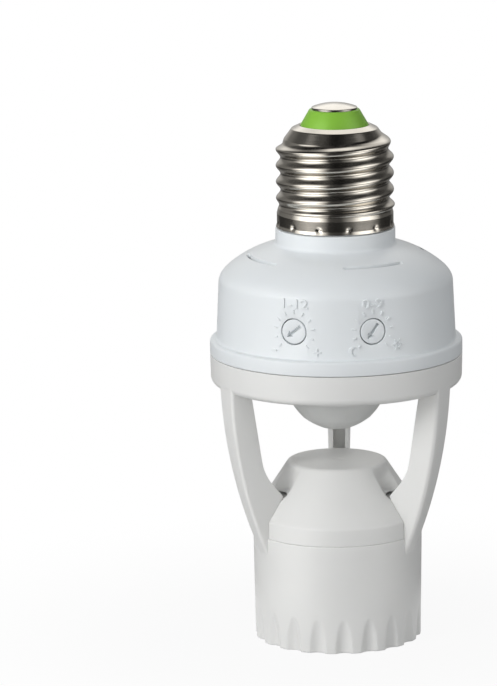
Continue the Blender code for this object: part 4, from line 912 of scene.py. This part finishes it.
def fin(bm, outline, width, azimuth, back_round=0.0, rim_round=0.0):
    """Add a plate standing on a radius, its width following z, with its long edges rounded."""
    flat = Matrix(((1, 0, 0, 0), (0, 0, -1, 0), (0, 1, 0, 0), (0, 0, 0, 1)))
    verts = prism(bm, outline, -1.0, 1.0, flat)
    for vert in verts:
        vert.co.y *= width(vert.co.z) / 2
    if back_round:
        made = set(verts)
        rims = [e for e in bm.edges if made.issuperset(e.verts) and e.verts[0].co.y * e.verts[1].co.y > 0]
        back = [e for e in rims if at_arm_back(e.verts[0]) and at_arm_back(e.verts[1])]
        front = [e for e in rims if not at_arm_back(e.verts[0]) and not at_arm_back(e.verts[1])]
        settings = {"profile": 0.5, "affect": "EDGES", "material": -1}
        bmesh.ops.bevel(bm, geom=back, offset=back_round, segments=6, **settings)
        front = [e for e in front if e.is_valid]
        bmesh.ops.bevel(bm, geom=front, offset=rim_round, segments=3, **settings)
        verts = bm.verts
    bmesh.ops.transform(bm, matrix=turned(azimuth), verts=verts)


def add_flutes(bm):
    """Press round-topped flutes into the sleeve's wall at its mouth."""
    settings = looks()
    round_r = (settings.flute_width / 2) ** 2 / (2 * settings.flute_depth)
    soft = 0.07 * MM
    step = 2 * pi / settings.flute_count
    for vert in bm.verts:
        x, y, z = vert.co
        r = hypot(x, y)
        if z > settings.flute_height + 1.5 * MM or r < 17.2 * MM or r > 20 * MM:
            continue
        turn = (atan2(y, x) - radians(FRONT + FLUTE_TURN)) % step
        aside = r * min(turn, step - turn)
        deep = settings.flute_depth * (1 - max(0.0, z / settings.flute_height) ** 1.8)
        cut = deep - aside ** 2 / (2 * round_r)
        cut = (cut + sqrt(cut ** 2 + soft ** 2)) / 2
        vert.co.x *= 1 - cut / r
        vert.co.y *= 1 - cut / r


def ring_and_sleeve():
    """The turned parts of the lower frame, with the flutes, as one object."""
    ring = soft_line([(TONGUE_R, RING_TOP), (RING_R, RING_TOP), (RING_FOOT_R, RING_BOTTOM),
                      (RING_HOLE_R, RING_BOTTOM), (RING_HOLE_R, RING_FLOOR_TOP)],
                     [0, 0.15 * MM, 1.8 * MM, 0.2 * MM, 0], 10)
    tongue_top = RING_TOP + 1.4 * MM
    ring += [(TONGUE_INNER_R, RING_FLOOR_TOP), (TONGUE_INNER_R, tongue_top), (TONGUE_R, tongue_top)]
    edge = soft_line([(SLEEVE_BORE_R, SLEEVE_TOP), (SLEEVE_R, SLEEVE_TOP), (SLEEVE_MOUTH_R, 0.0),
                      (SLEEVE_LIP_R, 0.0)], [0, 0.2 * MM, 0.25 * MM, 0], 4)
    upper, lower = edge[:6], edge[6:]
    rows = along(upper[-1], lower[0], 14)
    rows = rows[:8] + along(rows[7], lower[0], 36)      # finer rows where the flutes are
    sleeve = upper + rows[:-1] + lower + [(SLEEVE_LIP_R, SLEEVE_LIP), (SLEEVE_BORE_R, SLEEVE_LIP)]
    bm = bmesh.new()
    spin(bm, ring, looks().segments)
    spin(bm, sleeve, looks().flute_count * 20)
    add_flutes(bm)
    return solid("arm_frame_moulding", bm)


def arms():
    """Three arms, each a fin from inside the sleeve's wall up into the ring."""
    top_z = RING_FLOOR_TOP - CLEAR
    root_r = SLEEVE_BORE_R + 0.7 * MM
    outline = arm_back(0.0, ARM_ROOT[1], top_z, 40)
    outline += [(root_r, ARM_ROOT[1]), (root_r, SLEEVE_TOP + CLEAR)] + arm_inner(0.0, ARM_TIP[1], top_z)
    bm = bmesh.new()
    fin(bm, outline, arm_width, ARM_AZIMUTHS[0], back_round=0.8 * MM, rim_round=0.18 * MM)
    first = bm.verts[:] + bm.edges[:] + bm.faces[:]
    for azimuth in ARM_AZIMUTHS[1:]:
        copied = bmesh.ops.duplicate(bm, geom=first)["geom"]
        bmesh.ops.rotate(bm, matrix=turned(azimuth - ARM_AZIMUTHS[0]), cent=(0, 0, 0),
                         verts=[item for item in copied if isinstance(item, bmesh.types.BMVert)])
    return solid("arms", bm)


def channels_and_screw_seats():
    """Cutters of the arms' wire channels and of the stepped holes of the case screws."""
    low = SLEEVE_TOP + CLEAR
    high = RING_FLOOR_TOP + CLEAR
    channel = arm_back(ARM_WALL, low, high, 24) + [(ARM_TIP[0] - WALL, low)]
    channel += arm_inner(-WALL, ARM_TIP[1], high)
    foot = RING_BOTTOM - CLEAR
    seat = RING_BOTTOM + 1.7 * MM
    stepped = [(0.0, foot), (SCREW_RECESS_R, foot), (SCREW_RECESS_R, seat), (SCREW_HOLE_R, seat),
               (SCREW_HOLE_R, high), (0.0, high)]
    bm = bmesh.new()
    for azimuth in CASE_SCREW_AZIMUTHS:
        before = set(bm.verts)
        spin(bm, stepped, 32, closed=False)
        made = [vert for vert in bm.verts if vert not in before]
        bmesh.ops.transform(bm, matrix=out_at(azimuth, CASE_SCREW_R), verts=made)
    for azimuth in ARM_AZIMUTHS:
        fin(bm, channel, lambda z: CHANNEL_WIDTH, azimuth)
    return solid("channels_and_screw_seats", bm)


def add_lower_frame():
    """Ring, three channelled arms and fluted sleeve, one moulding."""
    moulding = ring_and_sleeve()
    carve(moulding, arms(), "UNION")
    carve(moulding, channels_and_screw_seats())
    dress(moulding, "warm_white_abs", ["lower_frame"], sharp=30)


# Socket cap

def valley_depth(z, aside):
    """Depth of the valley that leads down to the tip of an arm."""
    if abs(aside) >= VALLEY_HALF:
        return 0.0
    top = CAP_DISC_Z - 0.7 * MM
    rise = smooth_step(z, ARM_TIP[1] - 1.3 * MM, ARM_TIP[1] + 0.9 * MM)
    fall = max(0.0, min(1.0, (top - z) / (top - ARM_TIP[1] - 0.9 * MM))) ** 0.8
    return looks().valley_depth * rise * fall * (1 - (aside / VALLEY_HALF) ** 2) ** 1.1


def press_cap(bm):
    """Press the valleys into the cone and the gate dimple into the disc."""
    for vert in bm.verts:
        x, y, z = vert.co
        r = hypot(x, y)
        cone_r = CAP_SKIRT_R + (CAP_DISC_R - CAP_SKIRT_R) * (z - CAP_SKIRT_TOP) / (CAP_DISC_Z - CAP_SKIRT_TOP)
        if z > CAP_SKIRT_TOP and r > cone_r - 1.0 * MM:
            for arm in ARM_AZIMUTHS:
                turn = atan2(y, x) - radians(arm)
                if cos(turn) > 0.7:
                    dip = valley_depth(z, r * sin(turn)) / r
                    vert.co.x -= dip * x
                    vert.co.y -= dip * y
        if z > CAP_DISC_Z - 0.01 * MM:
            vert.co.z -= GATE_DIMPLE_DEPTH * exp(-(r / GATE_DIMPLE_R) ** 4)


def arm_notches(foot):
    """Cutters of the cap's notches: close at an arm's sides, and open a little round its tip."""
    near, inside, outside = ARM_TIP[0] - 0.12 * MM, 10.2 * MM, 20.4 * MM
    gap_foot, gap_top = ARM_TIP[1] - 0.7 * MM, ARM_TIP[1] + 0.14 * MM
    step = gap_foot + 0.05 * MM
    notch = [(near, foot), (outside, foot), (outside, gap_foot), (outside, step), (outside, gap_top),
             (inside, gap_top), (inside, step), (near, gap_foot)]
    bm = bmesh.new()
    for azimuth in ARM_AZIMUTHS:
        fin(bm, notch, lambda z: arm_width(z) + (0.5 if z > gap_foot + 0.02 * MM else 0.14) * MM, azimuth)
    return solid("notches", bm)


def add_socket_cap():
    """Cone with a flat disc, a gate dimple, soft valleys, and notches with a small gap at each arm's tip."""
    skirt_foot = SLEEVE_TOP + 0.02 * MM
    line = soft_line([(0.0, CAP_DISC_Z), (CAP_DISC_R, CAP_DISC_Z), (CAP_SKIRT_R, CAP_SKIRT_TOP),
                      (CAP_SKIRT_R, skirt_foot), (CAP_SPIGOT_R, skirt_foot)],
                     [0, 1.2 * MM, 1.5 * MM, 0.14 * MM, 0], 8)
    foot = SOCKET_TOP + CLEAR
    ceiling = CAP_DISC_Z - 2 * WALL
    inner = [(CAP_SPIGOT_R, foot), (CAP_SPIGOT_BORE_R, foot), (CAP_SPIGOT_BORE_R, CAP_SKIRT_TOP - WALL),
             (CAP_DISC_R - WALL, ceiling), (0.0, ceiling)]
    bm = bmesh.new()
    spin(bm, divided(line, 0.4 * MM) + inner, looks().segments + 60, closed=False)
    press_cap(bm)
    cap = solid("socket_cone_cap", bm)
    carve(cap, arm_notches(foot - CLEAR))
    dress(cap, "warm_white_abs", ["socket_cap"])


# Lens, plate and screws

def facet_share(polar_angle, azimuth):
    """1 in the middle of a facet of the lens, 0 at its edges, by degrees from the pole and turns round."""
    low = 0
    for high, count in FACET_RINGS:
        if polar_angle <= high:
            break
        low = high
    rise = (polar_angle - low) / (high - low) * 2 - 1
    aside = (azimuth * count) % 1.0 * 2 - 1 if count > 1 else 0.0
    return (1 - rise ** 4) * (1 - aside ** 4)


def add_lens():
    """Milky dome with rings of shallow facets, a straight rim and a flange."""
    depth = looks().facet_depth
    centre = (0.0, LENS_CENTRE_Z)
    flange = PLATE_TOP + CLEAR
    line = arc(centre, LENS_R, -90, 0, 60)
    line += [(LENS_R, flange), (LENS_FLANGE_R, flange), (LENS_FLANGE_R, flange + MM),
             (LENS_INNER_R, flange + MM)]
    line += arc(centre, LENS_INNER_R, 0, -90, 24)
    bm = bmesh.new()
    spin(bm, line, looks().segments, closed=False)
    for vert in bm.verts:
        x, y, z = vert.co
        spoke = Vector((x, y, z - LENS_CENTRE_Z))
        if spoke.length < LENS_R - 0.2 * MM or z > LENS_CENTRE_Z:
            continue
        polar_angle = acos(max(-1.0, min(1.0, -spoke.z / spoke.length))) * 180 / pi
        spoke *= 1 - depth * facet_share(polar_angle, atan2(y, x) / (2 * pi)) / LENS_R
        vert.co = spoke + Vector((0, 0, LENS_CENTRE_Z))
    dress(solid("faceted_lens", bm), "milky_polyethylene", ["lens_dome"])


def add_plate():
    """Plate round the lens, with the posts of the board."""
    line = soft_line([(PLATE_R, PLATE_TOP), (PLATE_R, PLATE_BOTTOM), (PLATE_HOLE_R, PLATE_BOTTOM),
                      (PLATE_HOLE_R, PLATE_TOP)], [0, 0, 0.25 * MM, 0], 3)
    plate = lathe("lens_plate", line, looks().segments // 2)
    posts = rods("posts", POST_R, PLATE_BOTTOM + CLEAR, PLATE_TOP + 3.5 * MM, CASE_SCREW_AZIMUTHS,
                 POST_PLACE_R)
    carve(plate, posts, "UNION")
    dress(plate, "warm_white_abs", ["sensor_plate"])


def add_case_screws():
    """Cross-headed screws that are seen from below."""
    seat = RING_BOTTOM + 1.4 * MM
    head = soft_line([(0, seat - 1.1 * MM), (SCREW_HEAD_R, seat - 0.85 * MM), (SCREW_HEAD_R, seat),
                      (SCREW_SHANK_R, seat)], [0, 0.3 * MM, 0, 0], 4)
    shank = [(SCREW_SHANK_R, seat + 8.0 * MM), (0, seat + 9.0 * MM)]
    for i, azimuth in enumerate(CASE_SCREW_AZIMUTHS, 1):
        screw = lathe("pan_head_screw_%d" % i, head + shank, 48, closed=False)
        for turn in (0, 90):
            bm = bmesh.new()
            prism(bm, rectangle(2.1 * MM, 0.4 * MM), seat - 2 * MM, seat - 0.45 * MM,
                  Matrix.Rotation(radians(turn), 4, "Z"))
            carve(screw, solid("cross", bm))
        screw.data.transform(out_at(azimuth, CASE_SCREW_R))
        dress(screw, "zinc_plated_steel", ["case_screw_%d" % i])


# Lamp socket

def add_ceramic_cup():
    """Ceramic cup with the holes of its terminals."""
    line = soft_line([(0.0, SOCKET_TOP), (CUP_R, SOCKET_TOP), (CUP_R, CUP_FOOT), (CUP_BORE_R, CUP_FOOT),
                      (CUP_BORE_R, CUP_FLOOR), (0.0, CUP_FLOOR)],
                     [0, 0.5 * MM, 0.3 * MM, 0.4 * MM, 0.5 * MM, 0], 4)
    cup = lathe("ceramic_cup", line, looks().segments // 2, closed=False)
    holes = rods("terminal_holes", SCREW_HOLE_R, SOCKET_TOP - 2.6 * MM, SOCKET_TOP + CLEAR,
                 TERMINAL_AZIMUTHS, TERMINAL_R)
    carve(cup, holes)
    dress(cup, "fired_steatite", ["socket_insulator"])


def add_brass_shell():
    """Threaded brass shell that is seen from below."""
    wall = SOCKET_SHELL_WALL
    bore_r = SOCKET_SHELL_R - wall
    top = CUP_FLOOR - CLEAR
    low = SOCKET_SHELL_FOOT + wall
    high = top - 2 * wall
    rows = round((high - low) / THREAD_PITCH * SOCKET_THREAD_ROWS)
    profile = [(SOCKET_SHELL_R, SOCKET_SHELL_FOOT), (SOCKET_SHELL_R, top), (SOCKET_SHELL_HOLE_R, top),
               (SOCKET_SHELL_HOLE_R, top - wall), (bore_r, top - wall)]
    profile += [(bore_r, high + (low - high) * i / rows) for i in range(rows + 1)]
    profile.append((bore_r, SOCKET_SHELL_FOOT))
    bm = bmesh.new()
    spin(bm, profile, looks().segments // 2)
    for vert in bm.verts:
        x, y, z = vert.co
        if low < z < high and hypot(x, y) < bore_r + wall / 4:
            share = thread_share(z, atan2(y, x), low, (low, low + THREAD_PITCH / 2))
            share *= 1 - smooth_step(z, high - THREAD_PITCH / 2, high)
            shrink = 1 - SOCKET_THREAD_DEPTH * share / bore_r
            vert.co.x *= shrink
            vert.co.y *= shrink
    dress(solid("threaded_brass_shell", bm), "stamped_brass", ["socket_shell"], sharp=50)


# Finishes of the nodes that stay as they are
CARRIED = {
    "warm_white_abs": ("left_wire_cover", "right_wire_cover"),
    "stamped_brass": ("centre_leaf", "left_terminal", "right_terminal"),
    "zinc_plated_steel": ("left_terminal_screw", "right_terminal_screw", "pir_sensor"),
    "solder_mask": ("circuit_board",),
    "lacquered_photocell": ("photocell",),
    "blue_trimmer_plastic": ("time_trimmer", "lux_trimmer"),
    "yellow_capacitor_epoxy": ("film_capacitor",),
    "black_moulding": ("relay", "electrolytic_capacitor", "switching_chip", "shell_lead",
                       "socket_right_lead"),
    "red_insulation": ("centre_lead", "socket_left_lead"),
}


def dress_carried():
    """Give the nodes that stay as they are their finish."""
    for material, names in CARRIED.items():
        for name in names:
            mesh = frame["nodes"][name].data
            mesh.materials.clear()
            mesh.materials.append(finish(material))


# Stage

# Tent, as (angle, brightness) pairs in degrees. Azimuth 0 is the front and grows to the right.
FRONT_AROUND = ((-125, 0.06), (-92, 0.08), (-62, 0.92), (-40, 1.0), (-12, 0.02), (14, 0.01), (36, 0.18),
                (54, 0.66), (72, 0.66), (102, 0.03))
FRONT_UP = ((-40, 1.0), (-22, 0.40), (-10, 0.11), (0, 1.0), (24, 1.0), (33, 0.42), (44, 0.36), (54, 0.02))
BACK_AROUND = ((-160, 1.0), (-140, 0.0), (140, 0.0), (160, 1.0))
BACK_UP = ((-10, 0.05), (6, 0.11), (16, 0.17), (28, 0.42), (72, 0.42), (79, 0.02))
TENT_POWER = 3.1
TENT_DARK = 0.006
TENT_R = 1.5
TENT_CENTRE = Vector((0, 0, 0.1))

# World, as (height of the direction, brightness) pairs
SKY = ((0.0, 0.96), (0.25, 0.76), (0.5, 0.52), (1.0, 0.42))


def seen_directly(tree):
    """1 for rays from the camera, off a mirror or through glass, else 0."""
    path = add_node(tree, "LightPath")
    near = add_node(tree, "Math", {0: path.outputs["Is Camera Ray"], 1: path.outputs["Is Glossy Ray"]},
                    operation="MAXIMUM")
    return add_node(tree, "Math", {0: near.outputs[0], 1: path.outputs["Is Transmission Ray"]},
                    operation="MAXIMUM").outputs[0]


def add_floor():
    """White paper floor that keeps the object's soft shadow near it and is plain white further off."""
    bm = bmesh.new()
    bmesh.ops.create_grid(bm, x_segments=1, y_segments=1, size=4.0)
    bmesh.ops.translate(bm, vec=(0, 0, -0.05 * MM), verts=bm.verts)
    floor = solid("paper_floor", bm)
    made = bpy.data.materials.new("white_paper")
    tree = empty_tree(made)
    place = add_node(tree, "TexCoord").outputs["Object"]
    fibre = add_node(tree, "TexNoise", {"Vector": place, "Scale": 40.0}).outputs[0]
    tint = add_node(tree, "Mix", {0: fibre, 6: hex_linear("#BABABA"), 7: hex_linear("#C0C0C0")},
                    data_type="RGBA").outputs[2]
    lit = add_node(tree, "BsdfDiffuse", {"Color": tint}).outputs[0]
    glow = add_node(tree, "Emission", {"Color": (1, 1, 1, 1), "Strength": 1.0}).outputs[0]
    away = add_node(tree, "VectorMath", {0: place}, operation="LENGTH").outputs["Value"]
    white = add_node(tree, "MapRange", {"Value": away, "From Min": 0.02, "From Max": 0.12, "To Min": 0.93,
                                        "To Max": 1.0}, interpolation_type="SMOOTHSTEP").outputs[0]
    share = add_node(tree, "Math", {0: seen_directly(tree), 1: white}, operation="MULTIPLY").outputs[0]
    mixed = add_node(tree, "MixShader", {0: share, 1: lit, 2: glow}).outputs[0]
    add_node(tree, "OutputMaterial", {"Surface": mixed})
    floor.data.materials.append(made)


def set_stops(ramp, pairs):
    """Set a ramp's greys from (place, brightness) pairs, and return its output."""
    elements = ramp.color_ramp.elements
    while len(elements) < len(pairs):
        elements.new(0.5)
    for element, (place, bright) in zip(elements, pairs):
        element.position = place
        element.color = (bright, bright, bright, 1)
    return ramp.outputs[0]


def bands(tree, angle, reach, pairs):
    """Brightness along an angle that runs to reach degrees either way."""
    whole = {"Value": angle, "From Min": radians(-reach), "From Max": radians(reach)}
    share = add_node(tree, "MapRange", whole)
    ramp = add_node(tree, "ValToRGB", {"Fac": share.outputs[0]})
    return set_stops(ramp, [((degrees + reach) / (2 * reach), bright) for degrees, bright in pairs])


def tent_light(tree):
    """Strength of the tent's light: tall soft boxes in front, and a panel at the back."""
    place = add_node(tree, "TexCoord").outputs["Object"]
    spoke = add_node(tree, "VectorMath", {0: place, 1: TENT_CENTRE}, operation="SUBTRACT").outputs[0]
    spoke = add_node(tree, "VectorMath", {0: spoke}, operation="NORMALIZE").outputs[0]
    axes = add_node(tree, "SeparateXYZ", {0: spoke}).outputs
    ahead = add_node(tree, "Math", {0: axes[1], 1: -1.0}, operation="MULTIPLY").outputs[0]
    around = add_node(tree, "Math", {0: axes[0], 1: ahead}, operation="ARCTAN2").outputs[0]
    up = add_node(tree, "Math", {0: axes[2]}, operation="ARCSINE").outputs[0]
    sides = []
    for beside, above in ((FRONT_AROUND, FRONT_UP), (BACK_AROUND, BACK_UP)):
        inputs = {0: bands(tree, around, 180, beside), 1: bands(tree, up, 90, above)}
        sides.append(add_node(tree, "Math", inputs, operation="MULTIPLY").outputs[0])
    light = add_node(tree, "Math", {0: sides[0], 1: sides[1]}, operation="ADD").outputs[0]
    light = add_node(tree, "Math", {0: light, 1: TENT_POWER, 2: TENT_DARK}, operation="MULTIPLY_ADD")
    return light.outputs[0]


def add_tent():
    """Dark felt tent with tall soft boxes and a back panel, which only reflections see."""
    profile = [(0.045, 0.001), (TENT_R, 0.001)]
    profile += [(TENT_R * cos(radians(a)), TENT_CENTRE.z + TENT_R * sin(radians(a))) for a in range(5, 91, 5)]
    bm = bmesh.new()
    verts = [bm.verts.new((r, 0.0, z)) for r, z in profile]
    edges = [bm.edges.new(pair) for pair in zip(verts, verts[1:])]
    bmesh.ops.spin(bm, geom=verts + edges, cent=(0, 0, 0), axis=(0, 0, 1), angle=2 * pi, steps=72,
                   use_merge=True)
    bmesh.ops.remove_doubles(bm, verts=bm.verts, dist=1e-6)
    mesh = bpy.data.meshes.new("reflector_tent")
    bm.to_mesh(mesh)
    bm.free()
    made = bpy.data.materials.new("felt_and_soft_boxes")
    tree = empty_tree(made)
    glow = add_node(tree, "Emission", {"Color": (1.0, 0.985, 0.96, 1), "Strength": tent_light(tree)})
    add_node(tree, "OutputMaterial", {"Surface": glow.outputs[0]})
    mesh.materials.append(made)
    tent = new_object("reflector_tent", mesh)
    tent.visible_camera = False
    tent.visible_diffuse = False
    tent.visible_shadow = False
    tent.visible_transmission = False


def add_light(name, azimuth, elevation, distance, size, power):
    """A square soft box that looks at the object's middle."""
    a, e = radians(azimuth), radians(elevation)
    back = Vector((cos(a) * cos(e), sin(a) * cos(e), sin(e)))
    lamp = bpy.data.lights.new(name, "AREA")
    lamp.shape = "SQUARE"
    lamp.size = size
    lamp.energy = power
    holder = new_object(name, lamp)
    holder.location = MIDDLE + back * distance
    holder.rotation_euler = back.to_track_quat("Z", "Y").to_euler()
    holder.visible_glossy = False


def add_world():
    """White for the camera and for reflections; a plain grey, a little darker overhead, lights the object."""
    world = bpy.data.worlds.new("studio")
    bpy.context.scene.world = world
    tree = empty_tree(world)
    way = add_node(tree, "TexCoord").outputs["Generated"]
    height = add_node(tree, "SeparateXYZ", {0: way}).outputs["Z"]
    level = set_stops(add_node(tree, "ValToRGB", {"Fac": height}), SKY)
    plain = add_node(tree, "Background", {"Color": (0.98, 0.99, 1.0, 1.0), "Strength": level}).outputs[0]
    white = add_node(tree, "Background", {"Color": (1, 1, 1, 1), "Strength": 1.0}).outputs[0]
    mixed = add_node(tree, "MixShader", {0: seen_directly(tree), 1: plain, 2: white}).outputs[0]
    add_node(tree, "OutputWorld", {"Surface": mixed})


def add_camera():
    """Long lens a little above the object, turned a little off it, as the object stands right of
    the middle."""
    azimuth, elevation, distance = radians(1.4), radians(12.2), 1.0
    back = Vector((sin(azimuth) * cos(elevation), -cos(azimuth) * cos(elevation), sin(elevation)))
    data = bpy.data.cameras.new("camera")
    data.sensor_width = 36.0
    data.lens = 236.4
    data.clip_start = 0.01
    data.clip_end = 20.0
    camera = new_object("camera", data)
    turn = (-back).to_track_quat("-Z", "Y").to_matrix().to_4x4()
    for angle, axis in ((1.1145, "Y"), (0.3633, "X"), (-0.436, "Z")):
        turn = turn @ Matrix.Rotation(radians(angle), 4, axis)
    camera.matrix_world = Matrix.Translation(MIDDLE + back * distance) @ turn
    bpy.context.scene.camera = camera


# Operators

class BuildStep(bpy.types.Operator):
    """Base of the operators that build one group of pieces."""

    bl_options = {"REGISTER", "UNDO"}
    steps = ()

    def execute(self, context):
        for step in self.steps:
            step()
        return {"FINISHED"}


class LAMPHOLDER_OT_screw_cap(BuildStep):
    """Build the rolled screw shell, the green insulator and the centre contact"""

    bl_idname = "lampholder.screw_cap"
    bl_label = "Screw cap"
    steps = (add_screw_shell, add_cap_end)


class LAMPHOLDER_OT_housing(BuildStep):
    """Build the upper housing with its vents and raised marks"""

    bl_idname = "lampholder.housing"
    bl_label = "Upper housing"
    steps = (add_housing, add_marks)


class LAMPHOLDER_OT_dials(BuildStep):
    """Build the two trim dials"""

    bl_idname = "lampholder.dials"
    bl_label = "Trim dials"
    steps = (add_dials,)


class LAMPHOLDER_OT_lower_frame(BuildStep):
    """Build the ring, arms and fluted sleeve"""

    bl_idname = "lampholder.lower_frame"
    bl_label = "Lower frame"
    steps = (add_lower_frame,)


class LAMPHOLDER_OT_socket_cap(BuildStep):
    """Build the cone that closes the sleeve"""

    bl_idname = "lampholder.socket_cap"
    bl_label = "Socket cap"
    steps = (add_socket_cap,)


class LAMPHOLDER_OT_sensor(BuildStep):
    """Build the lens, its plate and the case screws"""

    bl_idname = "lampholder.sensor"
    bl_label = "Sensor lens and plate"
    steps = (add_lens, add_plate, add_case_screws)


class LAMPHOLDER_OT_lamp_socket(BuildStep):
    """Build the ceramic cup and the threaded shell of the lamp socket"""

    bl_idname = "lampholder.lamp_socket"
    bl_label = "Lamp socket"
    steps = (add_ceramic_cup, add_brass_shell)


class LAMPHOLDER_OT_inner_parts(BuildStep):
    """Give the parts inside the housing their finishes"""

    bl_idname = "lampholder.inner_parts"
    bl_label = "Inner parts"
    steps = (dress_carried,)


class LAMPHOLDER_OT_stage(BuildStep):
    """Build the floor, the tent, the lights, the world and the camera"""

    bl_idname = "lampholder.stage"
    bl_label = "Stage"

    def execute(self, context):
        add_floor()
        add_world()
        add_tent()
        add_light("key_box", FRONT - 44, 23, 1.1, 0.4, 5.3)
        add_light("fill_box", FRONT - 12, 6, 1.4, 1.0, 1.2)
        add_camera()
        context.scene.view_settings.view_transform = "Standard"
        return {"FINISHED"}


class LAMPHOLDER_PT_panel(bpy.types.Panel):
    """Settings and build steps of the lamp holder"""

    bl_idname = "LAMPHOLDER_PT_panel"
    bl_label = "Lamp holder"
    bl_space_type = "VIEW_3D"
    bl_region_type = "UI"
    bl_category = "Lamp holder"

    def draw(self, context):
        column = self.layout.column()
        for name in HolderLooks.__annotations__:
            column.prop(context.scene.holder_looks, name)
        for step in STEPS:
            column.operator(step.bl_idname)


STEPS = (LAMPHOLDER_OT_screw_cap, LAMPHOLDER_OT_housing, LAMPHOLDER_OT_dials, LAMPHOLDER_OT_lower_frame,
         LAMPHOLDER_OT_socket_cap, LAMPHOLDER_OT_sensor, LAMPHOLDER_OT_lamp_socket, LAMPHOLDER_OT_inner_parts,
         LAMPHOLDER_OT_stage)
CLASSES = (HolderLooks,) + STEPS + (LAMPHOLDER_PT_panel,)


def register():
    """Register the classes and the scene's settings."""
    for item in CLASSES:
        bpy.utils.register_class(item)
    bpy.types.Scene.holder_looks = PointerProperty(type=HolderLooks)


def unregister():
    """Take the settings and classes away again."""
    del bpy.types.Scene.holder_looks
    for item in reversed(CLASSES):
        bpy.utils.unregister_class(item)


def main():
    """Build everything in order."""
    register()
    for step in STEPS:
        family, name = step.bl_idname.split(".")
        getattr(getattr(bpy.ops, family), name)()


if __name__ == "__main__":
    main()
